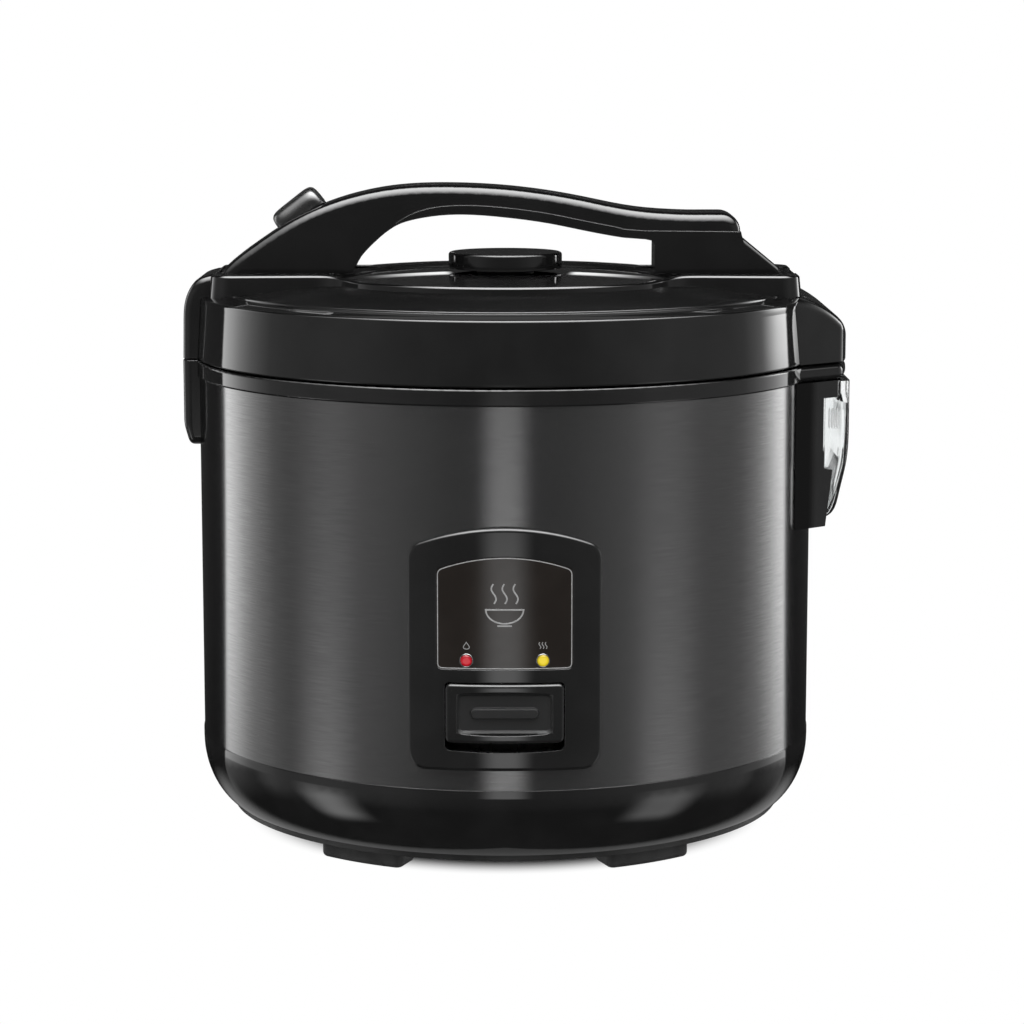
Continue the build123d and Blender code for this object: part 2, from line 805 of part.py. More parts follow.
# Glass window, its seal and the vent in its middle
glass_edge = glass_seat + 0.8
glass_top = z_ring - 1.6
crown_radius = (glass_radius**2 + glass_rise**2) / (2 * glass_rise)
crown_drop = crown_radius - math.sqrt(crown_radius**2 - (glass_radius / 2) ** 2)
with BuildPart() as glass_window:
    with BuildSketch(Plane.XZ):
        with BuildLine():
            crown = ThreePointArc(
                (0, glass_top + glass_rise),
                (glass_radius / 2, glass_top + glass_rise - crown_drop),
                (glass_radius, glass_top),
            )
            Polyline(crown @ 1, (glass_radius, glass_edge), (0, glass_edge), crown @ 0)
        make_face()
    revolve(axis=Axis.Z)
    with BuildSketch(Plane.XY.offset(z_band - 20)):
        Circle(8)
    extrude(amount=60, mode=Mode.SUBTRACT)

with BuildPart() as glass_seal:
    with BuildSketch(Plane.XY.offset(glass_seat)):
        Circle(glass_radius)
        Circle(glass_radius - 5.2, mode=Mode.SUBTRACT)
    extrude(amount=glass_edge - glass_seat)

vent_top = glass_top + glass_rise + 0.9
with BuildPart() as vent_seat:
    with BuildSketch(Plane.XY.offset(glass_edge - 2)):
        Circle(7.9)
    extrude(amount=vent_top - glass_edge + 2)
    with BuildSketch(Plane.XY.offset(glass_top + glass_rise)):
        Circle(12)
    extrude(amount=0.9)
    with BuildSketch(Plane.XY.offset(glass_edge - 2)):
        Circle(12)
    extrude(amount=2)
    with BuildSketch(Plane.XY.offset(glass_edge - 5)):
        Circle(vent_bore)
    extrude(amount=30, mode=Mode.SUBTRACT)

cap_low = vent_top + 0.4
cap_top = cap_low + cap_height
with BuildPart() as vent_cap:
    with BuildSketch(Plane.XZ) as cap_half:
        with BuildLine():
            Polyline(
                (0, cap_top),
                (cap_radius, cap_top),
                (cap_radius, cap_low),
                (cap_radius - 1.8, cap_low),
                (cap_radius - 1.8, cap_top - 2),
                (9, cap_top - 2),
                (9, vent_top + fit),
                (vent_bore - seat, vent_top + fit),
                (vent_bore - seat, vent_top - 7),
                (4.4, vent_top - 7),
                (4.4, cap_top - 2),
                (0, cap_top - 2),
                close=True,
            )
        make_face()
        rim = cap_half.vertices().filter_by(lambda v: v.X > cap_radius - 0.1 and v.Y > cap_top - 0.1)
        fillet(rim, 1.2)
    revolve(axis=Axis.Z)
    with BuildSketch(Plane.XZ):
        with Locations((0, cap_low + 1.4)):
            Rectangle(5, 3)
    extrude(amount=12, both=True, mode=Mode.SUBTRACT)

# Inner lid plate and the seal that meets the pot
lid_floor = z_lid + 4.4
with BuildPart() as inner_lid:
    with BuildSketch(Plane.XZ):
        with BuildLine():
            Polyline(
                (glass_radius - 5.4, glass_seat - 2),
                (glass_radius - 4.2, glass_seat - 2),
                (glass_radius - 4.2, lid_floor + 7),
                (pot_rim - 12.5, lid_floor + 1.2),
                (pot_rim, lid_floor + 1.2),
                (pot_rim, lid_floor),
                (pot_rim - 12.7, lid_floor),
                (glass_radius - 5.4, lid_floor + 5.8),
                close=True,
            )
        make_face()
    revolve(axis=Axis.Z)

with BuildPart() as pot_seal:
    with BuildSketch(Plane.XZ):
        with BuildLine():
            Polyline(
                (pot_rim - 9, lid_floor),
                (pot_rim - 0.5, lid_floor),
                (pot_rim - 0.5, lid_floor - 2.8),
                (pot_rim - 4, lid_floor - 2.8),
                (pot_rim - 4.5, z_rim + 1.6 + fit),
                (pot_rim - 6, z_rim + 1.6 + fit),
                (pot_rim - 6.5, lid_floor - 2.8),
                (pot_rim - 9, lid_floor - 2.8),
                close=True,
            )
        make_face()
    revolve(axis=Axis.Z)

# Latch cover on the left of the lid
with BuildPart() as latch_cover:
    with BuildSketch(Plane.XZ):
        with BuildLine():
            Line((-latch_reach, z_lid), (-latch_reach + 0.3, z_band - 9))
            Spline(
                (-latch_reach + 0.3, z_band - 9),
                (-latch_reach + 1.6, z_band),
                (-latch_reach + 5.4, z_band + 6.4),
                (-latch_reach + 12, z_bridge),
                tangents=[(0.03, 1), (1, 0.22)],
            )
            Polyline(
                (-latch_reach + 12, z_bridge),
                (-latch_reach + 16, z_bridge),
                (-latch_reach + 16, z_lid),
                (-latch_reach, z_lid),
            )
        make_face()
    extrude(amount=latch_half, both=True)
    fillet(
        latch_cover.edges().filter_by(
            lambda e: abs(abs(e.center().Y) - latch_half) < 0.01
            and e.center().X < -latch_reach + 9
            and e.center().Z > z_lid + 1
        ),
        tongue_round,
    )
    add(lid_envelope.part, mode=Mode.SUBTRACT)
    add(bridge_form.part, mode=Mode.SUBTRACT)

# Hinge cover on the right of the lid, with its knuckle
with BuildPart() as hinge_cover:
    with BuildSketch(Plane.XY.offset(z_lid)):
        add(hinge_column)
    extrude(amount=40)
    with BuildSketch(Plane.XZ):
        with BuildLine():
            Spline(
                (hinge_reach + 1, z_lid),
                (hinge_reach - 1.2, z_band - 14),
                (hinge_reach - 4.2, z_band - 9.0),
                (hinge_reach - 9, z_band - 4.6),
                (hinge_reach - 18.3, z_band + 0.6),
                (hinge_root_x, z_band + 5),
            )
            Polyline(
                (hinge_root_x, z_band + 5),
                (hinge_root_x, z_lid),
                (hinge_reach + 1, z_lid),
            )
        make_face()
    extrude(amount=80, both=True, mode=Mode.INTERSECT)
    fillet(
        hinge_cover.edges().filter_by(
            lambda e: abs(e.center().Y) > 1
            and e.center().X > hinge_root_x + 1
            and e.center().Z > z_lid + 1
            and abs(e.tangent_at(0.5).Z) < 0.8
        ),
        hinge_round,
    )
    add(lid_envelope.part, mode=Mode.SUBTRACT)
    add(bridge_form.part, mode=Mode.SUBTRACT)
    with BuildPart(mode=Mode.PRIVATE) as band_edge:
        with Locations((0, 0, z_band - band_round)):
            Cylinder(
                collar_radius - band_draft + 0.1,
                30,
                align=(Align.CENTER, Align.CENTER, Align.MIN),
            )
        with Locations((body_radius, 0, z_band)):
            Box(60, 2 * hinge_corner_y, 80, mode=Mode.SUBTRACT)
    add(band_edge.part, mode=Mode.SUBTRACT)
    with Locations((0, 0, z_band)):
        Cylinder(
            collar_radius - band_draft - band_round,
            20,
            align=(Align.CENTER, Align.CENTER, Align.MIN),
            mode=Mode.SUBTRACT,
        )
    with Locations((hinge_x, 0, (hinge_z + z_lid + 2) / 2)):
        Box(5, 2 * knuckle_half, z_lid + 2 - hinge_z)
    with Locations((hinge_x, 0, hinge_z)):
        Cylinder(barrel_radius, 2 * knuckle_half, rotation=(90, 0, 0))
        Cylinder(pin_radius + bearing, 2 * knuckle_half + 2, rotation=(90, 0, 0), mode=Mode.SUBTRACT)

hinge_wire = 0.45
with BuildPart() as hinge_spring:
    for side in (-1, 1):
        with BuildLine():
            turn = Helix(1.0, 2.4, pin_radius + 0.9, center=(hinge_x, side * 10.2 - 1.2, hinge_z),
                         direction=(0, 1, 0))
        with BuildSketch(Plane(turn @ 0, z_dir=turn % 0)):
            Circle(hinge_wire)
        sweep(path=turn, is_frenet=True)

# Carry handle: upper shell with the button, lower shell with the right foot
handle_left = -bridge_end + 2.5
handle_right = bridge_end - 7.1
foot_inside = handle_left + 54.8
block_inside = handle_right - 51.6
parting = [
    (-45.2, z_bridge + 20.6),
    (-36, z_bridge + 25.6),
    (-23.6, z_bridge + 27.9),
    (-2.3, z_bridge + 27.4),
    (18.8, z_bridge + 24.6),
    (36.6, z_bridge + 21.0),
    (48, z_bridge + 18.7),
    (57, z_bridge + 17.7),
]
under = [
    (-45.6, z_bridge + 19.4),
    (-36.4, z_bridge + 22.5),
    (-22.7, z_bridge + 24.2),
    (-2.1, z_bridge + 23.3),
    (18.8, z_bridge + 20.5),
    (36.6, z_bridge + 16.9),
    (48, z_bridge + 14.9),
    (58, z_bridge + 14.1),
]
foot_side = [
    under[0],
    (foot_inside + 8.4, z_bridge + 12.1),
    (foot_inside + 3.8, z_bridge + 7.1),
    (foot_inside + 1.2, z_bridge + 3.1),
    (foot_inside, z_bridge),
]
crest = [
    (handle_left, z_bridge),
    (handle_left + 13.5, z_bridge + 11.6),
    (handle_left + 32, z_bridge + 23.3),
    (handle_left + 51.8, z_bridge + 31.3),
    (-44.9, z_bridge + 35.6),
    (-23.6, z_bridge + 36.5),
    (6.2, z_bridge + 34.8),
    (31.8, z_bridge + 30.8),
    (57.3, z_bridge + 26.2),
    (76, z_bridge + 25.1),
    (handle_right - 24, z_bridge + 25.1),
]
handle_end = handle_right - 16
handle_lip = z_bridge + 17.3
button_up = (-math.sin(math.radians(button_tilt)), 0, math.cos(math.radians(button_tilt)))
button_plane = Plane(
    origin=(button_x, 0, button_z),
    x_dir=(math.cos(math.radians(button_tilt)), 0, math.sin(math.radians(button_tilt))),
    z_dir=button_up,
)
screw_left = -glass_radius - screw_clear_left
screw_right = glass_radius + screw_clear_right
handle_screws_at = [(screw_left, -11), (screw_left, 11), (screw_right, -9), (screw_right, 9)]

with BuildPart() as handle_top:
    with BuildSketch(Plane.XZ):
        with BuildLine():
            arch = Spline(*crest, tangents=[(0.62, 0.78), (1, 0)])
            TangentArc(arch @ 1, (handle_end, handle_lip), tangent=arch % 1)
            Line((handle_end, handle_lip), parting[-1])
            low = Spline(*parting, tangents=[(0.8, 0.6), (1, -0.08)])
            Line(parting[0], under[0])
            Spline(*foot_side, tangents=[(-0.86, -0.5), (-0.2, -1)])
            Line(foot_side[-1], crest[0])
        make_face()
    extrude(amount=handle_half, both=True)
    crest_edges = handle_top.edges().filter_by(
        lambda e: abs(abs(e.center().Y) - handle_half) < 0.01
        and (e.center().Z > z_bridge + 29.7 or e.center().X > handle_end - 7)
        and e.geom_type != GeomType.LINE
    )
    fillet(crest_edges, handle_round)
    with BuildSketch(Plane.XZ):
        with BuildLine():
            Polyline(
                (handle_left + 7, z_bridge - 1),
                (handle_left + 15, z_bridge + 7.7),
                (handle_left + 32, z_bridge + 19.1),
                (handle_left + 52, z_bridge + 26.7),
                (handle_left + 60, z_bridge + 26.7),
                (handle_left + 52, z_bridge + 11.7),
                (handle_left + 49.5, z_bridge - 1),
                close=True,
            )
        make_face()
    extrude(amount=button_wide / 2 - 1, both=True, mode=Mode.SUBTRACT)
    with BuildSketch(button_plane.offset(-4.6 - button_travel)):
        RectangleRounded(button_long + 2 * fit, button_wide + 2 * fit, 4 + fit)
    extrude(amount=22, mode=Mode.SUBTRACT)
    with BuildSketch(Plane.XY.offset(z_bridge)):
        with Locations(*handle_screws_at[:2]):
            Circle(screw_radius + seat)
    extrude(amount=9, mode=Mode.SUBTRACT)

with BuildPart() as handle_under:
    with BuildSketch(Plane.XZ):
        with BuildLine():
            Spline(*parting, tangents=[(0.8, 0.6), (1, -0.08)])
            Polyline(
                parting[-1],
                (handle_end, handle_lip),
                (handle_end + 0.6, z_bridge + 14.9),
                (handle_right - 0.8, z_bridge + 2.9),
                (handle_right, z_bridge),
                (block_inside, z_bridge),
                (block_inside, z_bridge + 12),
                (block_inside - 1.4, z_bridge + 13.6),
                under[-1],
            )
            Spline(*under, tangents=[(0.86, 0.5), (1, -0.08)])
            Line(under[0], parting[0])
        make_face()
    extrude(amount=handle_half, both=True)
    fillet(
        handle_under.edges().filter_by(
            lambda e: abs(abs(e.center().Y) - handle_half) < 0.01
            and abs(e.center().X - handle_end - 8) < 1.5
        ),
        2.2,
    )
    with BuildSketch(Plane.XY.offset(z_bridge)):
        with Locations(*handle_screws_at[2:]):
            Circle(screw_radius + seat)
    extrude(amount=9, mode=Mode.SUBTRACT)

# Screws from inside the lid into the handle; the cover gets their holes
with BuildPart() as handle_screws:
    with BuildSketch(Plane.XY.offset(z_bridge - 3)):
        with Locations(*handle_screws_at):
            Circle(screw_radius)
    extrude(amount=11)
    with BuildSketch(Plane.XY.offset(z_bridge - 4.8)):
        with Locations(*handle_screws_at):
            Circle(screw_head)
    extrude(amount=1.8)

with BuildPart() as screw_room:
    with BuildSketch(Plane.XY.offset(z_bridge - 3)):
        with Locations(*handle_screws_at):
            Circle(screw_radius + seat)
    extrude(amount=5)
    with BuildSketch(Plane.XY.offset(z_bridge - 14)):
        with Locations(*handle_screws_at):
            Circle(screw_head + seat)
    extrude(amount=11)

with BuildPart() as cover_drilled:
    add(lid_cover.part)
    add(screw_room.part, mode=Mode.SUBTRACT)

# Release button and the latch it works
with BuildPart() as release_button:
    with BuildSketch(button_plane.offset(-4)):
        RectangleRounded(button_long, button_wide, 4)
    extrude(amount=4.6)
    with BuildSketch(button_plane.offset(0.6)):
        RectangleRounded(button_long, button_wide, 4)
    extrude(amount=button_height - 0.6, taper=14)
    fillet(release_button.faces().sort_by(Axis((0, 0, 0), button_up))[-1].edges(), 2)
    with BuildSketch(button_plane.offset(-8.6)):
        Circle(3)
    extrude(amount=4.8)

latch_pivot = (latch_x, z_band - 4)
pad = (button_x - 9 * button_up[0], button_z - 9 * button_up[2])
with BuildPart() as latch_hook:
    with BuildSketch(Plane.XZ):
        with BuildLine():
            Polyline(
                (-catch_edge - 4.9, z_collar - 2.4),
                (-catch_edge - fit, z_collar - 2.4),
                (-catch_edge - fit, z_collar - 0.9),
                (-catch_edge - 1.7, z_collar + 0.6),
                (-catch_edge - 1.7, z_band - 7),
                (latch_x + 3, z_band - 8),
                (latch_x + 4.4, z_band - 3),
                (pad[0] + 3.2, pad[1] - 3.6),
                (pad[0] + 3.2, pad[1] + 2.5),
                (pad[0] - 2.6, pad[1] - 2.0),
                (latch_x - 3.5, z_band - 1),
                (-catch_edge - 4.9, z_band - 5),
                close=True,
            )
        make_face()
    extrude(amount=4, both=True)
    with Locations((latch_pivot[0], 0, latch_pivot[1])):
        Cylinder(4, 8, rotation=(90, 0, 0))
        Cylinder(pin_radius + bearing, 10, rotation=(90, 0, 0), mode=Mode.SUBTRACT)

with BuildPart() as latch_pin:
    with Locations((latch_pivot[0], 0, latch_pivot[1])):
        Cylinder(pin_radius, 19, rotation=(90, 0, 0))

# Condensate cup and its holder under the hinge
holder_low = cup_low - 2.3
bar_low = z_collar - 7
bar_end = cup_back + 6.5
with BuildPart() as cup_holder:
    with BuildSketch(Plane.XY.offset(holder_low)):
        add(hinge_column)
    extrude(amount=z_collar - seat - holder_low)
    with Locations((0, 0, holder_low - 5)):
        Cylinder(
            body_radius,
            shell_height,
            align=(Align.CENTER, Align.CENTER, Align.MIN),
            mode=Mode.SUBTRACT,
        )
    with BuildSketch(Plane.XZ):
        with BuildLine():
            Polyline(
                (cup_back - fit, bar_low),
                (cup_back - fit, cup_low - fit),
                (cup_back + 3.6, cup_low - fit),
                (cup_back + 3.6, cup_low - 20),
                (hinge_reach + 18, cup_low - 20),
                (hinge_reach + 18, z_collar + 10),
                (bar_end, z_collar + 10),
                (bar_end, bar_low),
                close=True,
            )
        make_face()
    extrude(amount=cup_half + fit, both=True, mode=Mode.SUBTRACT)
    with BuildSketch(Plane.XZ):
        with BuildLine():
            Polyline(
                (cup_back + fit, bar_low),
                (cup_back + fit, bar_low - 27),
                (cup_back + 1.1, bar_low - 29),
                (cup_back + 4.6, bar_low - 30),
                (cup_back - 0.6, cup_low - 20),
                (hinge_reach + 18, cup_low - 20),
                (hinge_reach + 18, z_collar + 10),
                (bar_end, z_collar + 10),
                (bar_end, bar_low),
                close=True,
            )
        make_face()
    extrude(amount=80, both=True, mode=Mode.SUBTRACT)
    with Locations((slot_x, 17, z_collar)):
        Cylinder(2.2, 30, mode=Mode.SUBTRACT)

cup_reach = hinge_reach - 0.2
cup_side = [
    (cup_reach, z_collar - 0.8),
    (cup_reach, z_collar - 14),
    (cup_reach - 0.9, z_collar - 35.2),
    (cup_reach - 3.5, z_collar - 47.2),
    (cup_back + 2.9, cup_low),
]
with BuildPart() as condensate_cup:
    with BuildSketch(Plane.XZ):
        with BuildLine():
            Line(cup_side[0], cup_side[1])
            bulge = Spline(*cup_side[1:], tangents=[(0, -1), (-1, -0.35)])
            Polyline(
                cup_side[-1],
                (cup_back, cup_low),
                (cup_back, bar_low - fit),
                (bar_end + fit, bar_low - fit),
                (bar_end + fit, z_collar - 0.8),
                cup_side[0],
            )
        make_face()
    extrude(amount=cup_half, both=True)
    fillet(
        condensate_cup.edges().filter_by(
            lambda e: abs(abs(e.center().Y) - cup_half) < 0.01
            and e.center().X > bar_end + 1
            and e.center().Z < z_collar - 1
        ),
        4.2,
    )
    with BuildSketch(Plane.XZ):
        with BuildLine():
            Polyline(
                (cup_back + cup_wall, bar_low + 20),
                (cup_back + cup_wall, cup_low + cup_wall),
                (cup_back + 2.5, cup_low + cup_wall),
                (cup_reach - 5.5, z_collar - 46.6),
                (cup_reach - cup_wall - 0.8, z_collar - 35.2),
                (cup_reach - cup_wall, z_collar - 14),
                (cup_reach - cup_wall, bar_low - 3),
                (bar_end + fit - 0.3, bar_low - 1.6),
                (bar_end + fit - 0.3, bar_low + 20),
                close=True,
            )
        make_face()
    extrude(amount=cup_half - cup_wall, both=True, mode=Mode.SUBTRACT)

# Every piece is saved under its own name
pieces = {
    "base_bowl": base_bowl,
    "bottom_cover": bottom_cover,
    "bottom_screws": bottom_screws,
    "feet": feet,
    "outer_shell": outer_shell,
    "collar": collar,
    "catch_tongue": catch_tongue,
    "heat_liner": heat_liner,
    "inner_pot": inner_pot,
    "heating_plate": heating_plate,
    "plate_legs": plate_legs,
    "heater_terminals": heater_terminals,
    "sensor_guide": sensor_guide,
    "sensor_cap": sensor_cap,
    "ferrite": ferrite,
    "sensor_spring": sensor_spring,
    "magnet_rod": magnet_rod,
    "magnet": magnet,
    "cook_lever": cook_lever,
    "lever_bracket": lever_bracket,
    "lever_pin": lever_pin,
    "cook_switch": cook_switch,
    "control_panel": control_panel,
    "panel_inlay": panel_inlay,
    "cook_lens": cook_lens,
    "warm_lens": warm_lens,
    "lamps": lamps,
    "cook_key": cook_key,
    "power_inlet": power_inlet,
    "inlet_pins": inlet_pins,
    "hinge_pin": hinge_pin,
    "cup_holder": cup_holder,
    "condensate_cup": condensate_cup,
    "lid_band": lid_band,
    "lid_cover": cover_drilled,
    "glass_window": glass_window,
    "glass_seal": glass_seal,
    "vent_seat": vent_seat,
    "vent_cap": vent_cap,
    "inner_lid": inner_lid,
    "pot_seal": pot_seal,
    "latch_cover": latch_cover,
    "hinge_cover": hinge_cover,
    "hinge_spring": hinge_spring,
    "handle_top": handle_top,
    "handle_under": handle_under,
    "handle_screws": handle_screws,
    "release_button": release_button,
    "latch_hook": latch_hook,
    "latch_pin": latch_pin,
}
for name, piece in pieces.items():
    piece.part.label = name
    export_step(piece.part, f"parts/{name}.step")
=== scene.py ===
# %% [markdown]
# # A rice cooker in black plastic and dark brushed steel
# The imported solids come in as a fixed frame, in metres, with the front facing -Y and the feet on
# Z = 0. They carry smooth normals of their own, so this lesson keeps most of them and spends its
# effort on finishes, on light and on the fine pieces that solids are too coarse for.

# %% Load the frame
import math

import bmesh
import bpy
import numpy as np
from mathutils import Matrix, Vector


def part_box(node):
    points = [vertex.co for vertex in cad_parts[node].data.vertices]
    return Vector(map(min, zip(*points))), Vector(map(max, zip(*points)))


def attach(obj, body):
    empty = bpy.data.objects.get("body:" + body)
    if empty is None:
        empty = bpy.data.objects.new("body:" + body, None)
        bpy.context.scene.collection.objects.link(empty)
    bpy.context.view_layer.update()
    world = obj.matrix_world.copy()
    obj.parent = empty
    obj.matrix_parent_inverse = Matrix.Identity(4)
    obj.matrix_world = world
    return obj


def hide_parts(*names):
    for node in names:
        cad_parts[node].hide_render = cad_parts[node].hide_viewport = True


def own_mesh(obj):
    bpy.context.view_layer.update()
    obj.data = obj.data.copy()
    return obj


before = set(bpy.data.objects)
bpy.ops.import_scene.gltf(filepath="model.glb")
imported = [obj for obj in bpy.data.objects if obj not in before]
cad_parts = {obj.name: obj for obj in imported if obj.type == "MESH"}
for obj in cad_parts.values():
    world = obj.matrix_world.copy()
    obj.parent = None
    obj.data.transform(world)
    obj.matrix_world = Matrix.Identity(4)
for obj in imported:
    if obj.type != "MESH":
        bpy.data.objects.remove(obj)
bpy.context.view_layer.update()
MM = 0.001
scene = bpy.context.scene
scene.view_settings.view_transform = "Standard"

# %% [markdown]
# ## Camera
# The picture was taken from a little above the lid with a long lens. A camera 1.28 m in front of
# the axis, tipped down by nearly nine degrees, brings the seams and the handle to the right places
# without any shift.

# %% Camera
CAMERA_AT = (0.00281, -1.28271, 0.32601)
CAMERA_TIP = 8.813
CAMERA_LENS = 107.71
lens = bpy.data.cameras.new("camera")
lens.lens = CAMERA_LENS
lens.sensor_width = 36.0
camera = bpy.data.objects.new("camera", lens)
camera.location = CAMERA_AT
camera.rotation_euler = (math.radians(90 - CAMERA_TIP), 0, 0)
scene.collection.objects.link(camera)
scene.camera = camera
print("camera at", CAMERA_AT)

# %% [markdown]
# ## Shader arithmetic
# A finish is easier to read as a formula than as a chain of nodes. The class below wraps one socket:
# sums and products of wires add Math nodes, and any other node comes from its method node.


# %% A socket that can be added and multiplied
class Wire:
    """One socket of a node tree, with the arithmetic of a plain number."""

    def __init__(self, tree, socket=None):
        self.tree, self.socket = tree, socket

    def node(self, kind, settings=None, sockets=None, out=0):
        """Adds a node: its settings first, then the value or wire of each socket."""
        made = self.tree.nodes.new(kind)
        for key, value in (settings or {}).items():
            if key == "stops":
                ramp = made.color_ramp
                ramp.elements.remove(ramp.elements[1])
                ramp.elements[0].position = value[0][0]
                ramp.elements[0].color = tint(value[0][1])
                for place, colour in value[1:]:
                    ramp.elements.new(place).color = tint(colour)
            else:
                setattr(made, key, value)
        for key, value in (sockets or {}).items():
            if isinstance(value, Wire):
                self.tree.links.new(value.socket, made.inputs[key])
            else:
                made.inputs[key].default_value = value
        return Wire(self.tree, made.outputs[out]) if len(made.outputs) else made

    def math(self, operation, *values):
        """A Math node on these values, in order."""
        return self.node("ShaderNodeMath", {"operation": operation}, dict(enumerate(values)))

    def __add__(self, other):
        return self.math("ADD", self, other)

    def __sub__(self, other):
        return self.math("SUBTRACT", self, other)

    def __mul__(self, other):
        return self.math("MULTIPLY", self, other)

    def __truediv__(self, other):
        return self.math("DIVIDE", self, other)

    def __radd__(self, other):
        return self.math("ADD", other, self)

    def __rsub__(self, other):
        return self.math("SUBTRACT", other, self)

    def __rmul__(self, other):
        return self.math("MULTIPLY", other, self)

    def between(self, low, high):
        """0 below low, 1 above high and a smooth rise from one to the other."""
        settings = {"interpolation_type": "SMOOTHSTEP"}
        return self.node("ShaderNodeMapRange", settings, {"Value": self, 1: low, 2: high})

    def band(self, start, full, fade, end):
        """0 outside start and end, 1 from full to fade, and smooth slopes in between."""
        return self.between(start, full) * (1 - self.between(fade, end))

    def split(self):
        """The three parts of a vector."""
        parts = self.tree.nodes.new("ShaderNodeSeparateXYZ")
        self.tree.links.new(self.socket, parts.inputs[0])
        return [Wire(self.tree, out) for out in parts.outputs]

    def join(self, x, y, z):
        """A vector from three numbers."""
        return self.node("ShaderNodeCombineXYZ", None, {0: x, 1: y, 2: z})

    def blend(self, a, b):
        """Colour a where this wire is 0, and b where it is 1."""
        settings = {"data_type": "RGBA"}
        values = {0: self, 6: tint(a), 7: tint(b)}
        return self.node("ShaderNodeMix", settings, values, out=2)

    def noise(self, vector, scale, detail=2.0, rough=0.5):
        """Noise from 0 to 1 at a vector."""
        values = {"Vector": vector, "Scale": scale, "Detail": detail, "Roughness": rough}
        return self.node("ShaderNodeTexNoise", None, values)


def tint(colour):
    """A colour with an alpha: one number is a grey, and a wire stays a wire."""
    if isinstance(colour, Wire):
        return colour
    if isinstance(colour, (int, float)):
        colour = (colour,) * 3
    return tuple(colour)[:3] + (1.0,)


print("shader arithmetic ready")

# %% [markdown]
# ## Light
# Black plastic and steel are drawn by what they mirror. Lamps and cards could stand round the object,
# but panels in the world take no room and give clean mirror images, so the studio is a formula of the
# direction alone. Only mirror rays see the panels: the camera and clear plastic see plain white, and
# matt surfaces and the floor are lit by an even white.

# %% Directions and rays
world = bpy.data.worlds.new("studio")
scene.world = world
world.use_nodes = True
world.cycles.sampling_method = "NONE"
world.node_tree.nodes.clear()
sky = Wire(world.node_tree)


def ray_is(kind):
    """1 for rays of this kind, such as those that come from the camera."""
    return sky.node("ShaderNodeLightPath", out=f"Is {kind} Ray")


plain_ray = sky.math("MAXIMUM", ray_is("Camera"), ray_is("Transmission"))
lit = sky.math("MAXIMUM", plain_ray, ray_is("Diffuse"))
east, north, up = sky.node("ShaderNodeTexCoord").split()
turn = sky.math("ARCTAN2", sky.math("ABSOLUTE", east), 0 - north) / math.pi
eastward = east.between(-0.02, 0.02)
print("a direction is turn, 0 in front to 1 behind, and up, -1 to 1")

# %% [markdown]
# ## Side walls
# The round body shows the walls as upright bands of grey, so one ramp over turn sets them all: dark
# in front, a broad grey wall, and a bright panel that ends at a black card. Low down the card's edge
# leans back and the panel dims, and the right-hand wall stands a touch further round.

# %% Side walls
SIDE_LEVEL = 3.3
WALL_LEAST = 0.01
WALL_UP = (-0.55, -0.25, 0.30, 0.55)
EAST_SHIFT = 0.016
CARD_TURN = (0.709, 0.716)
CARD_LEAN = 0.25
CARD_LEANS_BELOW = -0.14
DIM_TURN = (0.52, 0.62)
DIM_UP = (-0.30, -0.16)
DIM_SHARE = 0.9
panels = [
    (0.000, 0.030),
    (0.070, 0.030),
    (0.110, 0.032),
    (0.190, 0.056),
    (0.273, 0.087),
    (0.330, 0.100),
    (0.413, 0.084),
    (0.490, 0.088),
    (0.530, 0.112),
    (0.565, 0.200),
    (0.595, 0.300),
    (0.632, 0.480),
    (0.667, 0.710),
    (0.711, 0.890),
]
ramp = sky.node("ShaderNodeValToRGB", {"stops": panels}, {"Fac": turn - eastward * EAST_SHIFT})
fall = sky.math("MINIMUM", up - CARD_LEANS_BELOW, 0.0)
card = (turn + fall * CARD_LEAN).between(*CARD_TURN)
dim = turn.between(*DIM_TURN) * (1 - up.between(*DIM_UP)) * DIM_SHARE
wall = (ramp * (1 - card) + WALL_LEAST) * (1 - dim) * up.band(*WALL_UP) * SIDE_LEVEL
print("wall stops", len(panels))

# %% [markdown]
# ## Strips, glows and the crown
# The smaller lights each draw one thing: the strip a soft line down the middle of the steel, the low
# glows two patches on the bowl, the crown the thin lines along upper edges, the right panel the edges
# on that side, the slit a glint in the glass, the rim light the lid's ledge, and the back light the
# sides that face away. A band lists where a light starts, is full, starts to fade and ends.

# %% Strips, glows and the crown
STRIP_LEVEL = 1.9
STRIP_TURN = (0.012, 0.062)
STRIP_UP = (-0.30, -0.26, -0.20, -0.09)
LOW_LEVEL = 2.4
LOW_LEFT_TURN = (0.31, 0.40, 0.41, 0.50)
LOW_RIGHT_TURN = (0.26, 0.34, 0.38, 0.47)
LOW_RIGHT_SHARE = 0.66
LOW_UP = (-0.75, -0.60, -0.42, -0.21)
CROWN_LEVEL = 15.0
CROWN_UP = (0.42, 1.08)
CROWN_NORTH = (0.04, 0.26)
CROWN_EAST = (-0.72, -0.32)
CROWN_WEST_SHARE = 0.35
RIGHT_LEVEL = 4.0
RIGHT_EAST = (0.05, 0.20)
RIGHT_TURN = (0.60, 0.68, 0.711, 0.718)
RIGHT_UP = (-0.08, -0.02, 0.25, 0.40)
SLIT_LEVEL = 1.5
SLIT_TURN = (0.9800, 0.9905, 0.9912, 0.9925)
SLIT_UP = (0.072, 0.079, 0.10, 0.12)
RIM_LEVEL = 0.18
RIM_TURN = (0.70, 0.80)
RIM_UP = (0.41, 0.44, 0.50, 0.58)
BACK_LEVEL = 0.40
BACK_TURN = (0.72, 0.84)
BACK_UP = (-0.42, -0.29)
strip = (1 - turn.between(*STRIP_TURN)) * up.band(*STRIP_UP)
low_left = (1 - eastward) * turn.band(*LOW_LEFT_TURN)
low_right = eastward * turn.band(*LOW_RIGHT_TURN) * LOW_RIGHT_SHARE
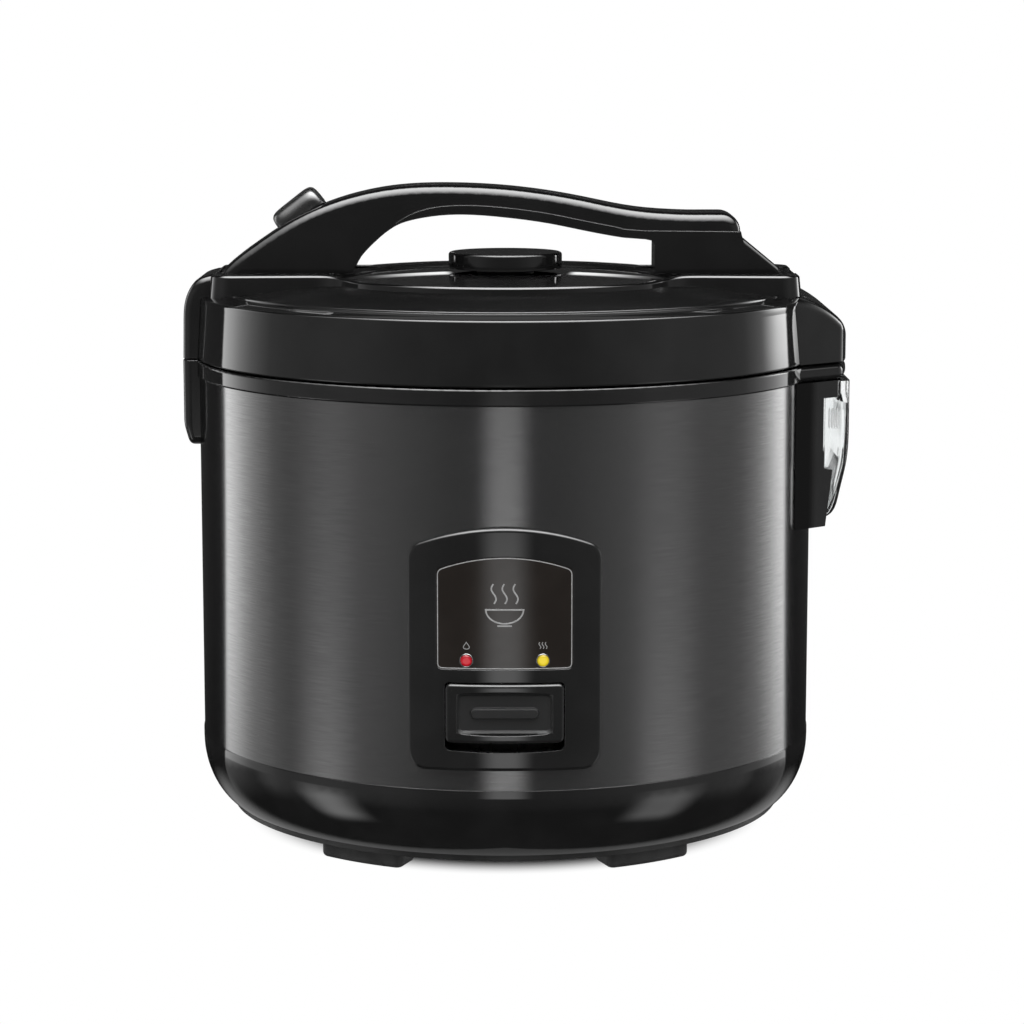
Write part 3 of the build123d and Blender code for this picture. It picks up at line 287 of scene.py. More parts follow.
low = (low_left + low_right) * up.band(*LOW_UP)
crown = up.between(*CROWN_UP) * (1 - north.between(*CROWN_NORTH))
crown = crown * (CROWN_WEST_SHARE + east.between(*CROWN_EAST) * (1 - CROWN_WEST_SHARE))
right = east.between(*RIGHT_EAST) * turn.band(*RIGHT_TURN) * up.band(*RIGHT_UP)
slit = turn.band(*SLIT_TURN) * up.band(*SLIT_UP)
rim = turn.between(*RIM_TURN) * up.band(*RIM_UP)
back = turn.between(*BACK_TURN) * (1 - up.between(*BACK_UP))
studio = wall + back * BACK_LEVEL + strip * STRIP_LEVEL + low * LOW_LEVEL + rim * RIM_LEVEL
studio = studio + crown * CROWN_LEVEL + right * RIGHT_LEVEL + slit * SLIT_LEVEL
bright = lit + (1 - lit) * studio
glow = sky.node("ShaderNodeBackground", None, {"Color": (1, 1, 1, 1), "Strength": bright})
sky.node("ShaderNodeOutputWorld", None, {"Surface": glow})
print("world nodes", len(world.node_tree.nodes))

# %% [markdown]
# ## Floor
# A pale sheet keeps the soft shadow under the feet and fades into the white of the world, so that
# no horizon shows. Mirrors see the studio's dark lower half instead of it.


# %% Floor
def grid_quads(points):
    """Quads of a grid, rows by columns: the corner at row i, column j joins its next neighbours."""
    rows, columns = points.shape[:2]
    at = np.arange(rows * columns).reshape(rows, columns)
    return np.stack([at[:-1, :-1], at[:-1, 1:], at[1:, 1:], at[1:, :-1]], -1).reshape(-1, 4)


FLOOR_HALF = 8.0
FLOOR_UNDER = 0.4
FADE_FROM, FADE_TO = 90.0, 112.0
across = np.linspace(-FLOOR_HALF, FLOOR_HALF, 9)
floor_x, floor_y = np.meshgrid(across, across)
floor_points = np.stack([floor_x, floor_y, np.full_like(floor_x, -FLOOR_UNDER * MM)], -1)
floor_mesh = bpy.data.meshes.new("floor")
floor_mesh.from_pydata(floor_points.reshape(-1, 3).tolist(), [], grid_quads(floor_points).tolist())
floor = bpy.data.objects.new("floor", floor_mesh)
scene.collection.objects.link(floor)
floor.visible_glossy = False
pale = bpy.data.materials.new("pale_floor")
pale.use_nodes = True
pale.node_tree.nodes.clear()
ground = Wire(pale.node_tree)
spot = ground.node("ShaderNodeTexCoord", out=3)
reach = ground.node("ShaderNodeVectorMath", {"operation": "LENGTH"}, {0: spot}, out=1)
matt = ground.node("ShaderNodeBsdfDiffuse", None, {"Color": (0.93, 0.93, 0.93, 1)})
white = ground.node("ShaderNodeEmission", None, {"Color": (1, 1, 1, 1), "Strength": 1.0})
spread = {0: reach.between(FADE_FROM * MM, FADE_TO * MM), 1: matt, 2: white}
surface = ground.node("ShaderNodeMixShader", None, spread)
ground.node("ShaderNodeOutputMaterial", None, {"Surface": surface})
floor.data.materials.append(pale)
print("floor", FLOOR_HALF)

# %% [markdown]
# ## Finishes
# Every finish starts from a Principled shader whose steady values sit on its own sockets. What
# changes over the surface is colour, roughness and normal. Edges of moulded parts are never knife
# sharp, so the normal comes through a Bevel node, which rounds them by a fraction of a millimetre.


# %% Finish helper
MATT_BLACK = 0.009


def finish(name, colour, rough, steady=None, edge=0.35, relief=None, dull=None):
    """A material: colour, rough and dull are functions of tree and place, and steady holds constants.

    edge is a rounding in mm, relief a height function with its depth in mm, and dull the share of a
    plain matt black that is mixed in.
    """
    material = bpy.data.materials.new(name)
    material.use_nodes = True
    material.node_tree.nodes.clear()
    tree = Wire(material.node_tree)
    place = tree.node("ShaderNodeTexCoord", out=3)
    sockets = {"Base Color": tint(colour(tree, place)), "Roughness": rough(tree, place)}
    normal = None
    if edge:
        normal = tree.node("ShaderNodeBevel", {"samples": 6}, {"Radius": edge * MM})
    if relief:
        height, depth = relief
        values = {"Height": height(tree, place), "Strength": 1.0, "Distance": depth * MM}
        if normal:
            values["Normal"] = normal
        normal = tree.node("ShaderNodeBump", None, values)
    if normal:
        sockets["Normal"] = normal
    sockets.update(steady or {})
    shader = tree.node("ShaderNodeBsdfPrincipled", None, sockets)
    if dull:
        flat = tree.node("ShaderNodeBsdfDiffuse", None, {"Color": tint(MATT_BLACK)})
        shader = tree.node("ShaderNodeMixShader", None, {0: dull(tree, place), 1: shader, 2: flat})
    tree.node("ShaderNodeOutputMaterial", None, {"Surface": shader})
    return material


def mottled(dark, pale, scale):
    """Colour that drifts between two shades over patches of 1 / scale metres."""
    return lambda tree, place: tree.noise(place, scale).between(0.35, 0.65).blend(dark, pale)


def worn(low, high, scale):
    """Roughness that drifts between two values over patches of 1 / scale metres."""
    return lambda tree, place: low + tree.noise(place, scale, 4.0) * (high - low)


def grain(scale):
    """Fine moulding grain for a bump."""
    return lambda tree, place: tree.noise(place, scale, 3.0)


print("finish helpers ready")

# %% [markdown]
# ## Black plastics
# All the mouldings share one black and differ in polish: mirror gloss on the casings, a softer dome on
# the lid, a satin recess on the key, a lacquered button, satin grain on hidden parts. One pigment with
# several roughnesses is how a maker would order them. The cup's holder is kept matt close to the steel,
# where a glossy flank would double itself in the metal.

# %% Black plastics
PLASTIC = {"IOR": 1.5}
LID_DULL = 0.72
HOLDER_MATT_TO, HOLDER_GLOSS_FROM = 131.5, 134.5
KEY_MIDDLE = 69.15
RECESS_HALF_WIDE, RECESS_HALF_HIGH, RECESS_SOFT = 18.4, 7.4, 0.5
KEY_GLOSS, KEY_SATIN = 0.09, 0.47
black = mottled(0.0082, 0.0104, 55)


def near_body(tree, place):
    """1 close to the steel shell and 0 further out, by distance from the axis."""
    x, y, _ = place.split()
    away = tree.math("SQRT", x * x + y * y)
    return 1 - away.between(HOLDER_MATT_TO * MM, HOLDER_GLOSS_FROM * MM)


def outside(tree, offset, half):
    """0 where an offset is less than half, in mm, and 1 a little beyond it."""
    return tree.math("ABSOLUTE", offset).between(half * MM, (half + RECESS_SOFT) * MM)


def key_rough(tree, place):
    """Polished rim, satin finger recess: satin where |x| and |z - middle| are inside the recess."""
    x, _, z = place.split()
    inside = 1 - outside(tree, x, RECESS_HALF_WIDE)
    inside = inside * (1 - outside(tree, z - KEY_MIDDLE * MM, RECESS_HALF_HIGH))
    return KEY_GLOSS + inside * (KEY_SATIN - KEY_GLOSS)


gloss_black = finish(
    "gloss_black_plastic", black, worn(0.035, 0.06, 140), PLASTIC, edge=0.45, relief=(grain(420), 0.0012)
)
lid_black = finish(
    "lid_black_plastic",
    black,
    worn(0.17, 0.23, 140),
    PLASTIC,
    edge=0.45,
    dull=lambda tree, place: LID_DULL,
)
trim_black = finish("trim_black_plastic", black, worn(0.04, 0.07, 140), PLASTIC, edge=0)
holder_black = finish(
    "holder_black_plastic", black, worn(0.10, 0.16, 140), PLASTIC, edge=0, dull=near_body
)
key_black = finish("key_black_plastic", black, key_rough, PLASTIC, edge=0.45)
button_black = finish(
    "button_black_plastic",
    black,
    worn(0.24, 0.32, 200),
    PLASTIC | {"Coat Weight": 1.0, "Coat Roughness": 0.24},
    edge=0,
)
satin_black = finish(
    "satin_black_plastic",
    mottled(0.010, 0.016, 90),
    worn(0.34, 0.48, 300),
    PLASTIC,
    relief=(grain(2600), 0.03),
)
rubber = finish(
    "black_rubber",
    mottled(0.012, 0.02, 120),
    worn(0.5, 0.68, 400),
    {"IOR": 1.45},
    edge=0.5,
    relief=(grain(1800), 0.04),
)
print("plastics ready")

# %% [markdown]
# ## Brushed steel
# The shell is dark steel brushed round the body. The scratches run level, so noise is read at the
# angle round the axis and the height, squeezed hard upwards: long streaks a fraction of a millimetre
# high. Rough across the scratches and smooth along them, the metal spreads reflections upwards and
# keeps them crisp sideways, which a quarter turn of the anisotropy gives.


# %% Brushed steel
def streaks(tree, place, fine=2600.0, along=9.0):
    """Noise at (angle round the axis, height): long level scratches, 0 to 1."""
    x, y, z = place.split()
    angle = tree.math("ARCTAN2", x, 0 - y)
    return tree.noise(tree.join(angle * along, 0.0, z * fine), 1.0, 3.0, 0.6)


def steel_colour(dark, pale):
    """Two greys mixed by the scratches."""
    return lambda tree, place: streaks(tree, place).between(0.2, 0.8).blend(dark, pale)


def steel_rough(low, high):
    """Roughness that follows longer, coarser scratches."""
    return lambda tree, place: low + streaks(tree, place, 900.0, 4.0) * (high - low)


dark_steel = finish(
    "dark_brushed_steel",
    steel_colour(0.150, 0.195),
    steel_rough(0.14, 0.20),
    {"Metallic": 1.0, "Anisotropic": 0.9, "Anisotropic Rotation": 0.25},
    edge=0,
    relief=(streaks, 0.012),
)
plain_steel = finish(
    "plain_steel", mottled(0.42, 0.52, 200), worn(0.22, 0.36, 350), {"Metallic": 1.0}, edge=0.15
)
spun_aluminium = finish(
    "spun_aluminium",
    steel_colour(0.60, 0.72),
    steel_rough(0.24, 0.36),
    {"Metallic": 1.0, "Anisotropic": 0.5, "Anisotropic Rotation": 0.25},
    edge=0,
)
brass = finish(
    "brass", mottled((0.62, 0.43, 0.16), (0.72, 0.52, 0.22), 300), worn(0.2, 0.34, 500), {"Metallic": 1.0}
)
ferrite = finish("sintered_ferrite", mottled(0.03, 0.06, 900), worn(0.5, 0.7, 900))
print("metals ready")

# %% [markdown]
# ## Glass, clear plastic, lenses and the printed plate
# The lid's glass is smoked, the cup is clear with a faint grey, and the lenses are tinted plastic
# with painted shade that darkens them towards the rim. Coloured glass could carry its tint in its depth,
# but pieces this thin take it from the surface, and the lenses take the painted shade from the distance
# to their own axis.


# %% Clear finishes
LENS_CORE, LENS_RIM = 1.1, 2.3


def box_mm(node):
    """Lowest and highest corner of a solid's box, in mm."""
    return [np.array(corner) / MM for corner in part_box(node)]


cook_at, warm_at = (np.mean(box_mm(lens), axis=0) for lens in ("cook_lens", "warm_lens"))


def lens_painted_rim_shade(middle, rim, at):
    """From the middle's colour to the rim's darker one, painted shade, by distance from the lamp's axis."""

    def shade(tree, place):
        lamp = {0: place, 1: (at[0] * MM, 0.0, at[2] * MM)}
        away = tree.node("ShaderNodeVectorMath", {"operation": "SUBTRACT"}, lamp)
        flat = tree.node("ShaderNodeVectorMath", {"operation": "MULTIPLY"}, {0: away, 1: (1, 0, 1)})
        length = tree.node("ShaderNodeVectorMath", {"operation": "LENGTH"}, {0: flat}, out=1)
        return length.between(LENS_CORE * MM, LENS_RIM * MM).blend(middle, rim)

    return shade


smoked_glass = finish(
    "smoked_glass",
    mottled(0.018, 0.024, 40),
    worn(0.015, 0.03, 60),
    {"IOR": 1.5, "Transmission Weight": 0.2},
    edge=0.3,
)
clear_plastic = finish(
    "clear_plastic",
    mottled((0.93, 0.95, 0.95), (0.97, 0.98, 0.98), 60),
    worn(0.02, 0.06, 120),
    {"IOR": 1.47, "Transmission Weight": 1.0},
    edge=0.4,
)
# Both lenses darken towards their rims: painted shade, not a deeper tint.
red_lens = finish(
    "red_lens",
    lens_painted_rim_shade((0.55, 0.003, 0.016), (0.42, 0.003, 0.012), cook_at),
    worn(0.12, 0.2, 800),
    {"IOR": 1.49},
)
amber_lens = finish(
    "amber_lens",
    lens_painted_rim_shade((0.86, 0.66, 0.012), (0.70, 0.52, 0.010), warm_at),
    worn(0.12, 0.2, 800),
    {"IOR": 1.49},
)
lamp_glass = finish(
    "lamp_glass", mottled((0.8, 0.72, 0.6), (0.9, 0.82, 0.7), 500), worn(0.1, 0.2, 500), PLASTIC
)
inlay_print = finish(
    "inlay_print",
    mottled((0.0122, 0.0092, 0.0074), (0.0150, 0.0116, 0.0094), 70),
    worn(0.10, 0.16, 200),
    PLASTIC,
    edge=0.15,
)
print("clear finishes ready")

# %% [markdown]
# ## Dressing the solids
# Each solid keeps its shape and gets one finish. A table of finishes with the solids that wear them
# reads like a maker's parts list, and the count printed at the end tells if a solid is missing.

# %% Assign finishes
dressing = {
    lid_black: "lid_cover",
    gloss_black: "base_bowl collar catch_tongue lid_band latch_cover hinge_cover "
    "handle_top handle_under vent_cap control_panel",
    holder_black: "cup_holder",
    key_black: "cook_key",
    button_black: "release_button",
    satin_black: "bottom_cover power_inlet cook_switch latch_hook",
    rubber: "feet pot_seal glass_seal vent_seat",
    dark_steel: "outer_shell",
    plain_steel: "bottom_screws handle_screws hinge_pin hinge_spring latch_pin lever_pin lever_bracket "
    "cook_lever sensor_spring magnet_rod plate_legs heat_liner sensor_guide",
    spun_aluminium: "inner_pot heating_plate inner_lid sensor_cap",
    brass: "heater_terminals inlet_pins",
    ferrite: "ferrite magnet",
    smoked_glass: "glass_window",
    clear_plastic: "condensate_cup",
    red_lens: "cook_lens",
    amber_lens: "warm_lens",
    lamp_glass: "lamps",
    inlay_print: "panel_inlay",
}
for material, names in dressing.items():
    for name in names.split():
        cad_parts[name].material_slots[0].material = material
print("dressed", sum(len(names.split()) for names in dressing.values()))

# %% [markdown]
# ## Pieces too fine for the solids
# Printed lines, lens rings and small ribs are surfaces worked out as grids of points in millimetres.
# One helper turns a grid the right way round and another joins grids into one mesh, merges doubles
# at poles and seams, and lets the piece ride on its body.


# %% Grid helpers
MERGE_WITHIN = 1e-7
TO_FRONT = np.array([0.0, -1.0, 0.0])
UPWARDS = np.array([0.0, 0.0, 1.0])


def facing(points, outward):
    """The grid with its rows turned round if its faces, columns cross rows, look away from outward."""
    across = points[:-1, 1:] - points[:-1, :-1]
    along = points[1:, :-1] - points[:-1, :-1]
    sense = np.sum(np.cross(across, along) * outward)
    return points if sense > 0 else points[::-1]


def put(name, grids, material, body, closed=False):
    """One piece from several grids of points in mm, merged, smooth-shaded and riding on a body."""
    corners, quads, start = [], [], 0
    for points in grids:
        quads.append(grid_quads(points) + start)
        corners.append(points.reshape(-1, 3))
        start += len(corners[-1])
    mesh = bpy.data.meshes.new(name)
    mesh.from_pydata((np.concatenate(corners) * MM).tolist(), [], np.concatenate(quads).tolist())
    shell = bmesh.new()
    shell.from_mesh(mesh)
    bmesh.ops.remove_doubles(shell, verts=shell.verts, dist=MERGE_WITHIN)
    if closed:
        bmesh.ops.recalc_face_normals(shell, faces=shell.faces)
    shell.to_mesh(mesh)
    shell.free()
    mesh.polygons.foreach_set("use_smooth", np.ones(len(mesh.polygons), dtype=bool))
    piece = bpy.data.objects.new(name, mesh)
    scene.collection.objects.link(piece)
    piece.data.materials.append(material)
    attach(piece, body)
    print(name, len(mesh.polygons), "faces")
    return piece


# %% [markdown]
# ## Label
# The plate behind the lamps is printed: a fine border runs inside its edge, and a plain drawing of a
# steaming bowl marks what the thing is for. A picture of the lines would blur close up. Ink has a little
# height, so each line is a flat section carried along a path on the plate's cylinder, with its rims sunk
# into the plate.

# %% Printed lines
plate_low, plate_high = box_mm("panel_inlay")
PLATE_RADIUS = -plate_low[1]
INK_HIGH = 0.03
INK_SUNK = -0.06
ink = finish("pale_ink", mottled(0.30, 0.36, 900), worn(0.30, 0.42, 900), edge=0)


def print_line(path, half, loop=False):
    """A flat section carried along (x, z), raised on the cylinder y = -sqrt(R^2 - x^2)."""
    step = np.gradient(path, axis=0)
    if loop:
        step = np.roll(path, -1, 0) - np.roll(path, 1, 0)
    side = np.stack([-step[:, 1], step[:, 0]], 1) / np.linalg.norm(step, axis=1)[:, None]
    across = np.array([-1.0, -0.8, 0.8, 1.0]) * half
    flat = path[:, None] + across[None, :, None] * side[:, None]
    high = np.tile([INK_SUNK, INK_HIGH, INK_HIGH, INK_SUNK], (len(path), 1))
    if not loop:
        high[[0, -1]] = INK_SUNK
    x, z = flat[..., 0], flat[..., 1]
    grid = np.stack([x, -np.sqrt((PLATE_RADIUS + high) ** 2 - x**2), z], -1)
    if loop:
        grid = np.concatenate([grid, grid[:1]])
    return facing(grid, TO_FRONT)


def evenly(points, spacing):
    """Points of a polyline at the distances that spacing gives for its whole length."""
    reach = np.concatenate([[0], np.cumsum(np.linalg.norm(np.diff(points, axis=0), axis=1))])
    at = spacing(reach[-1])
    return np.stack([np.interp(at, reach, points[:, k]) for k in (0, 1)], 1)


print("plate radius", PLATE_RADIUS)

# %% Label border
BORDER_LINE = 0.22
BORDER_IN_SIDES = 0.45
BORDER_IN_ENDS = 0.4
BORDER_ARCH = 5.0


def plate_outline(half, low, side, high, count=420, soft=9):
    """Straight sides and an arched top, evenly spaced and then averaged over neighbours to round corners."""
    rise = high - side
    radius = (half**2 + rise**2) / (2 * rise)
    x = np.linspace(half, -half, 60)
    top = np.stack([x, high - radius + np.sqrt(radius**2 - x**2)], 1)
    corners = np.concatenate([[[-half, low], [half, low]], top, [[-half, low]]])
    even = evenly(corners, lambda length: np.linspace(0, length, count, endpoint=False))
    return np.mean([np.roll(even, k, 0) for k in range(-(soft // 2), soft // 2 + 1)], axis=0)


border_high = plate_high[2] - BORDER_IN_ENDS
outline = plate_outline(
    plate_high[0] - BORDER_IN_SIDES,
    plate_low[2] + BORDER_IN_ENDS,
    border_high - BORDER_ARCH,
    border_high,
)
put("label_border", [print_line(outline, BORDER_LINE, True)], ink, "cooker_body")

# %% Label drawing
DRAWN_LINE, SIGN_LINE = 0.34, 0.16
BOWL_BRIM = 109.5
BOWL_HALF, BOWL_DEEP = 7.2, 5.4
BRIM_HALF = 8.6
STAND_HALF, STAND_UNDER = 3.4, 6.3
STEAM_ABOVE, STEAM_TALL, STEAM_SWAY, STEAM_APART = 2.2, 8.0, 0.9, 4.2
SIGN_LOW, SIGN_TALL, SIGN_SWAY, SIGN_APART = 94.2, 2.6, 0.35, 1.2
DROP_MIDDLE, DROP_HALF_TALL, DROP_WIDE, DROP_FULLNESS = 95.5, 1.4, 1.15, 1.3


def level_line(half, z, count):
    """A level line from -half to half."""
    return np.stack([np.linspace(-half, half, count), np.full(count, z)], 1)


def wisp(x, low, tall, sway):
    """One wave of a sine on end: x + sway sin(2 pi t), low + tall t."""
    t = np.linspace(0, 1, 36)
    return np.stack([x + sway * np.sin(2 * math.pi * t), low + tall * t], 1)


swing = np.linspace(math.pi, 2 * math.pi, 40)
bowl = np.stack([BOWL_HALF * np.cos(swing), BOWL_BRIM + BOWL_DEEP * np.sin(swing)], 1)
lines = [bowl, level_line(BRIM_HALF, BOWL_BRIM, 12), level_line(STAND_HALF, BOWL_BRIM - STAND_UNDER, 8)]
steam = [(k * STEAM_APART, BOWL_BRIM + STEAM_ABOVE, STEAM_TALL, STEAM_SWAY) for k in (-1, 0, 1)]
lines += [wisp(*shape) for shape in steam]
drawing = [print_line(line, DRAWN_LINE) for line in lines]
signs = [(warm_at[0] + k * SIGN_APART, SIGN_LOW, SIGN_TALL, SIGN_SWAY) for k in (-1, 0, 1)]
drawing += [print_line(wisp(*shape), SIGN_LINE) for shape in signs]
t = np.linspace(0, 2 * math.pi, 48, endpoint=False)
drop_x = cook_at[0] + DROP_WIDE * np.sin(t) * (1 - np.cos(t)) / DROP_FULLNESS
drop = np.stack([drop_x, DROP_MIDDLE + DROP_HALF_TALL * np.cos(t)], 1)
drawing += [print_line(drop, SIGN_LINE, True)]
put("label_drawing", drawing, ink, "cooker_body")

# %% [markdown]
# ## Lens rings
# Each lamp lens sits in a thin bright ring. A torus primitive would stand upright, so the ring is worked
# out on the plate's own directions: flattened towards the plate, and turned with the plate's curve so
# that it lies flat on it.


# %% Lens rings
def lens_ring(x, z, middle=2.5, wide=0.2, high=0.22):
    """Ring angle by section angle: middle + wide cos(b) outwards from the lamp, high sin(b) off the plate."""
    off = math.asin(x / PLATE_RADIUS)
    out = np.array([math.sin(off), -math.cos(off), 0.0])
    along = np.array([math.cos(off), math.sin(off), 0.0])
    a, b = np.meshgrid(np.linspace(0, 2 * math.pi, 49), np.linspace(0, 2 * math.pi, 13), indexing="ij")
    reach = (middle + wide * np.cos(b))[..., None]
    flat = reach * (np.cos(a)[..., None] * along + np.sin(a)[..., None] * UPWARDS)
    return flat + PLATE_RADIUS * out + [0, 0, z] + (high * np.sin(b))[..., None] * out


bright_ring = finish(
    "bright_ring", mottled(0.30, 0.36, 400), worn(0.16, 0.24, 500), {"Metallic": 1.0}, edge=0
)
rings = [lens_ring(at[0], at[2]) for at in (cook_at, warm_at)]
put("lens_rings", rings, bright_ring, "cooker_body", True)

# %% [markdown]
# ## Platform edge of the lid
# On the lid one unbroken bright line runs along the platform under the handle: out along one wing,
# round the front of the glass and back along the other wing. A bevel could round the solid's edge, but
# it breaks where wing and ring meet. A moulding like that has one small radius all the way, so the edge
# is one section carried along a path that is averaged where the wings meet the ring.

# %% Platform path
WING_END = 120.5
WING_HALF, WING_SPREAD = 27.0, 8.5
WING_CORNER, WING_CORNER_AT = 9.0, np.array([111.5, -25.84])
WING_BACK = -18.0
MEET_AT = 69.4
RING_OUT = 76.70
PROUD = 0.25
CORNER_KEPT_FROM, CORNER_KEPT_FADE = 88.0, 8.0


def platform_path(step=0.5, soft=49):
    """Wing end, wing side and ring front in plan, evenly spaced, averaged where wing and ring meet."""
    slope = math.atan2(WING_SPREAD, WING_END)
    round_by = np.linspace(0, -math.pi / 2 - slope, 24)
    corner = WING_CORNER_AT + (WING_CORNER + PROUD) * np.stack([np.cos(round_by), np.sin(round_by)], 1)
    side = np.array([[MEET_AT, -(WING_HALF + WING_SPREAD * MEET_AT / WING_END) - PROUD]])
    swing = np.linspace(math.atan2(side[0, 1], side[0, 0]), -math.pi / 2, 80)
    arc = RING_OUT * np.stack([np.cos(swing), np.sin(swing)], 1)
    half = np.concatenate([[[WING_END + PROUD, WING_BACK]], corner, side, arc[1:]])
    whole = np.concatenate([half, half[-2::-1] * [-1, 1]])
    even = evenly(whole, lambda length: np.arange(0, length, step))
    padded = np.pad(even, ((soft // 2, soft // 2), (0, 0)), mode="edge")
    smooth = np.stack([np.convolve(padded[:, k], np.ones(soft) / soft, "valid") for k in (0, 1)], 1)
    kept = np.clip((np.abs(even[:, :1]) - CORNER_KEPT_FROM) / CORNER_KEPT_FADE, 0, 1)
    return kept * even + (1 - kept) * smooth


print("platform path", len(platform_path()), "points")

# %% Platform edge
DOME_POINTS = ((117.1, 221.2), (96.2, 224.0), (76.3, 225.8))
RING_TOP = 228.42
WING_RISE, RISE_FROM, RISE_LONG = 1.31, 58.0, 16.0
FACE_LEAN = 0.105
FOOT_SUNK = 1.0
EDGE_ACROSS = np.array([-6.0, -3.5, -1.00, -0.84, -0.72, -0.62, -0.14, -0.06, -0.01, 0.0])
EDGE_DOWN = np.array([0.72, 0.30, 0.0, 0.02, 0.08, 0.17, 0.64, 0.74, 0.86, 1.0])


def dome_height(reach):
    """Height of the lid's dome at a distance from the axis: a circle through three of its points."""
    (x1, z1), (x2, z2), (x3, z3) = DOME_POINTS
    lhs = np.array([[x2 - x1, z2 - z1], [x3 - x1, z3 - z1]]) * 2
    rhs = np.array([x2**2 + z2**2 - x1**2 - z1**2, x3**2 + z3**2 - x1**2 - z1**2])
    cx, cz = np.linalg.solve(lhs, rhs)
    radius = math.hypot(x1 - cx, z1 - cz)
    return cz + np.sqrt(radius**2 - (np.clip(reach, x3, x1) - cx) ** 2)


def platform_edge(side):
    """Section along the path: flange on top, chamfer with rounded ends, then a face down into the dome."""
    path = platform_path()
    step = np.gradient(path, axis=0)
    out = np.stack([step[:, 1], -step[:, 0]], 1) / np.linalg.norm(step, axis=1)[:, None]
    out = out * np.sign(np.sum(out * path, axis=1))[:, None]
    far = np.clip((np.abs(path[:, 0]) - RISE_FROM) / RISE_LONG, 0, 1)
    top = RING_TOP + WING_RISE * far**2 * (3 - 2 * far)
    edge = path[:, None] + EDGE_ACROSS[None, :, None] * out[:, None]
    edge_high = top[:, None] - EDGE_DOWN[None]
    foot = dome_height(np.linalg.norm(path, axis=1)) - FOOT_SUNK
    drop = (edge_high[:, -1] - foot)[:, None] * np.array([[0.5, 1.0]])
    face = path[:, None] + (FACE_LEAN * drop)[..., None] * out[:, None]
    face_high = edge_high[:, -1:] - drop
    plan = np.concatenate([edge, face], 1)
    high = np.concatenate([edge_high, face_high], 1)
    grid = np.concatenate([plan, high[..., None]], 2)
    grid[..., 1] *= side
    return facing(grid, UPWARDS)


put("platform_edge", [platform_edge(1), platform_edge(-1)], trim_black, "lid")

# %% [markdown]
# ## Rim of the lid
# The lid band ends in a small round, a sloping ledge and a bead where the dome begins, and each of them
# catches one thin line of light. The band is turned about the axis, so the rim is one section carried
# round it, in front and behind, and stops short of the latch and the hinge.

# %% Lid rim
RIM_WALL = np.array([[127.42, 216.8], [127.40, 217.6]])
RIM_ROUND_AT, RIM_ROUND = np.array([126.12, 218.81]), 1.25
RIM_LEDGE = np.array([[122.0, 220.80], [118.4, 221.46]])
BEAD_AT, BEAD = np.array([117.55, 221.85]), 0.6
RIM_INSIDE = np.array([[116.9, 221.2]])
RIM_SPAN = 73


def arc_points(at, radius, angles):
    """Points of a circle about a place at these angles."""
    return at + radius * np.stack([np.cos(angles), np.sin(angles)], 1)


def rim_section(count=300):
    """Wall, round, ledge and inner bead of the lid band turned about the axis, proud of the solid."""
    curve = arc_points(RIM_ROUND_AT, RIM_ROUND, np.linspace(0.02, math.radians(79.7), 10))
    bead = arc_points(BEAD_AT, BEAD, np.radians(np.linspace(-25, 170, 12)))
    section = np.concatenate([RIM_WALL, curve, RIM_LEDGE, bead, RIM_INSIDE])
    rims = []
    for middle in (-90, 90):
        swing = np.radians(np.linspace(middle - RIM_SPAN, middle + RIM_SPAN, count))
        r, z = section[:, 0][None], np.tile(section[:, 1], (count, 1))
        ring = np.stack([r * np.cos(swing)[:, None], r * np.sin(swing)[:, None], z], -1)
        rims.append(facing(ring, UPWARDS))
    return rims


put("lid_rim", rim_section(), gloss_black, "lid")

# %% [markdown]
# ## Release button
# The button is a soft cushion rather than a box: every face bulges, which is what gives it its round
# highlight. A subdivided box could be pushed into shape, but a superellipsoid has it in one formula: a
# sphere whose sines and cosines are raised to a power.


# %% Release button
BUTTON_AT = np.array([-84.9, 0.0, 252.9])
BUTTON_TILT = math.radians(38)
BUTTON_HALF_LONG, BUTTON_HALF_WIDE = 10.95, 8.45
BUTTON_ABOVE, BUTTON_BELOW = 7.55, 4.0


def signed_power(value, exponent):
    """The power of a value's size, with the value's own sign."""
    return np.sign(value) * np.abs(value) ** exponent


def cushion(half_long, half_wide, above, below, ends=0.34, girth=0.85):
    """Superellipsoid about its long axis: powers of sines and cosines of the end angle and the turn."""
    end_angles = np.linspace(-math.pi / 2, math.pi / 2, 97)
    h, t = np.meshgrid(end_angles, np.linspace(-math.pi, math.pi, 129), indexing="ij")
    ring = signed_power(np.cos(h), ends)
    long = half_long * signed_power(np.sin(h), ends)
    wide = half_wide * ring * signed_power(np.cos(t), girth)
    high = ring * signed_power(np.sin(t), girth)
    return np.stack([long, wide, np.where(high > 0, above, below) * high], -1)


lean = np.array(
    [
        [math.cos(BUTTON_TILT), 0, math.sin(BUTTON_TILT)],
        [0, 1, 0],
        [-math.sin(BUTTON_TILT), 0, math.cos(BUTTON_TILT)],
    ]
)
pillow = cushion(BUTTON_HALF_LONG, BUTTON_HALF_WIDE, BUTTON_ABOVE, BUTTON_BELOW) @ lean + BUTTON_AT
button = put("release_cushion", [pillow], button_black, "release", True)
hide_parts("release_button")

# %% [markdown]
# ## Ribs on the cup
# The clear cup has a patch of frosted upright ribs on each flank for the fingers that pull it out. A
# bump would give them no outline in clear plastic, so each is a half-round bar whose ends sink into the
# wall.

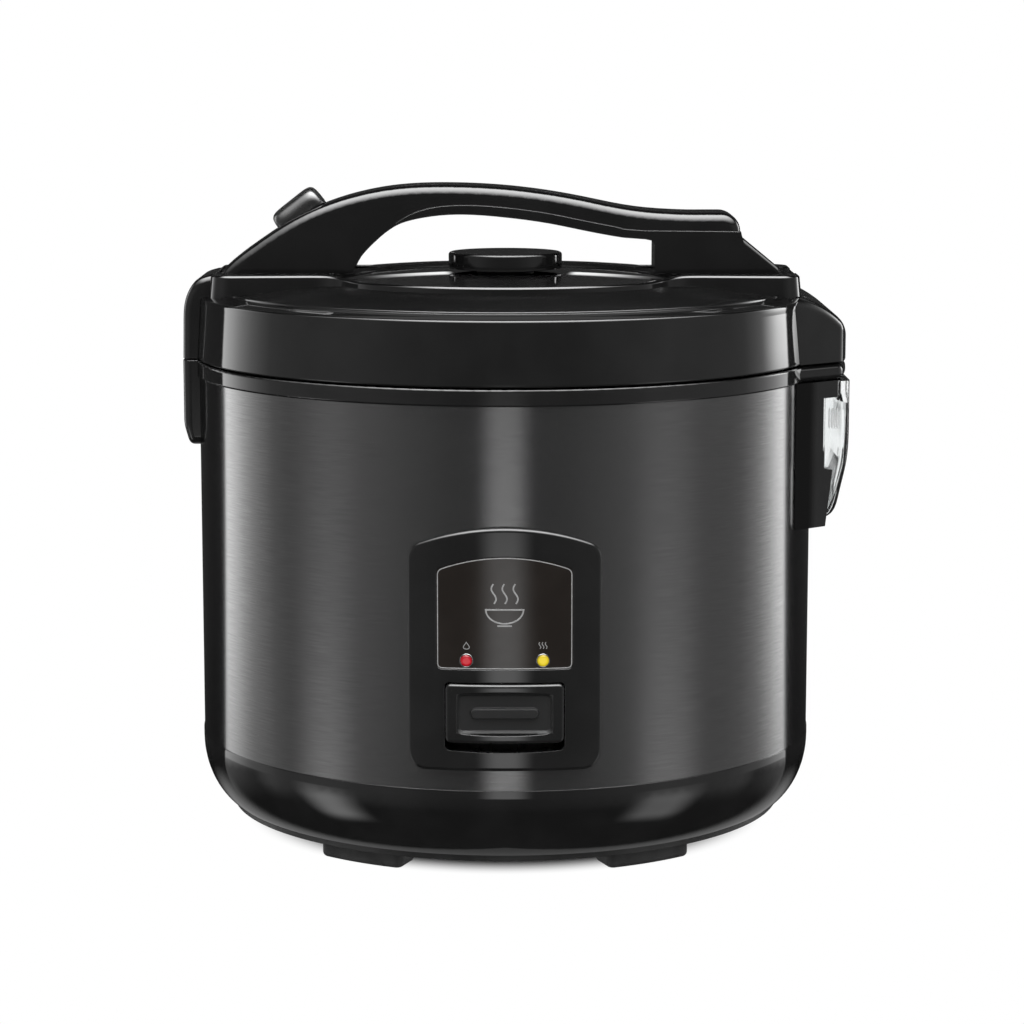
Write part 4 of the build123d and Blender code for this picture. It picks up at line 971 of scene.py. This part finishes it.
# %% Cup ribs
CUP_FLANK = box_mm("condensate_cup")[1][1]
RIB_FIRST, RIB_LAST, RIB_APART = 133.4, 137.4, 1.1
RIB_LOW, RIB_HIGH = 166.5, 175.5
RIB_RADIUS = 0.42
RIB_SUNK = 0.05


def upright_rib(x, side):
    """Half-round bar on one flank: height by half turn, its radius closing at both ends."""
    heights = np.linspace(RIB_LOW, RIB_HIGH, 12)
    z, turn_by = np.meshgrid(heights, np.linspace(0, math.pi, 9), indexing="ij")
    along = (z - (RIB_LOW + RIB_HIGH) / 2) / ((RIB_HIGH - RIB_LOW) / 2)
    swell = RIB_RADIUS * np.sqrt(np.clip(1 - along**6, 0, 1))
    y = side * (CUP_FLANK + swell * np.sin(turn_by) - RIB_SUNK)
    bar = np.stack([x + swell * np.cos(turn_by), y, z], -1)
    return facing(bar, np.array([0.0, side, 0.0]))


frosted = finish(
    "frosted_plastic",
    mottled(0.80, 0.88, 300),
    worn(0.30, 0.45, 300),
    {"IOR": 1.47, "Transmission Weight": 0.6},
    edge=0,
)
ribs = [upright_rib(x, side) for x in np.arange(RIB_FIRST, RIB_LAST, RIB_APART) for side in (-1, 1)]
put("cup_ribs", ribs, frosted, "cup")

# %% [markdown]
# ## Spring under the sensor
# A short coil pushes the thermostat's cap against the pot. It is wound from round wire, and it shortens
# by the cap's own travel when a full pot stands on it.

# %% Sensor spring
WIRE = 0.45
TURNS = 2.5


def coil(radius, low, high):
    """Tube round a helix: along the wire by round it, its thickness closing at both ends."""
    along, round_by = np.meshgrid(np.linspace(0, 1, 361), np.linspace(0, 2 * math.pi, 13), indexing="ij")
    thick = WIRE * np.sqrt(np.clip(1 - (2 * along - 1) ** 120, 0, 1))
    out = radius + thick * np.cos(round_by)
    swing = 2 * math.pi * TURNS * along
    z = low + WIRE + (high - low - 2 * WIRE) * along + thick * np.sin(round_by)
    return np.stack([out * np.cos(swing), out * np.sin(swing), z], -1)


spring_low, spring_high = box_mm("sensor_spring")
winding = coil(spring_high[0] - WIRE, spring_low[2], spring_high[2])
spring = put("sensor_coil", [winding], plain_steel, "cooker_body", True)
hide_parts("sensor_spring")
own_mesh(spring)
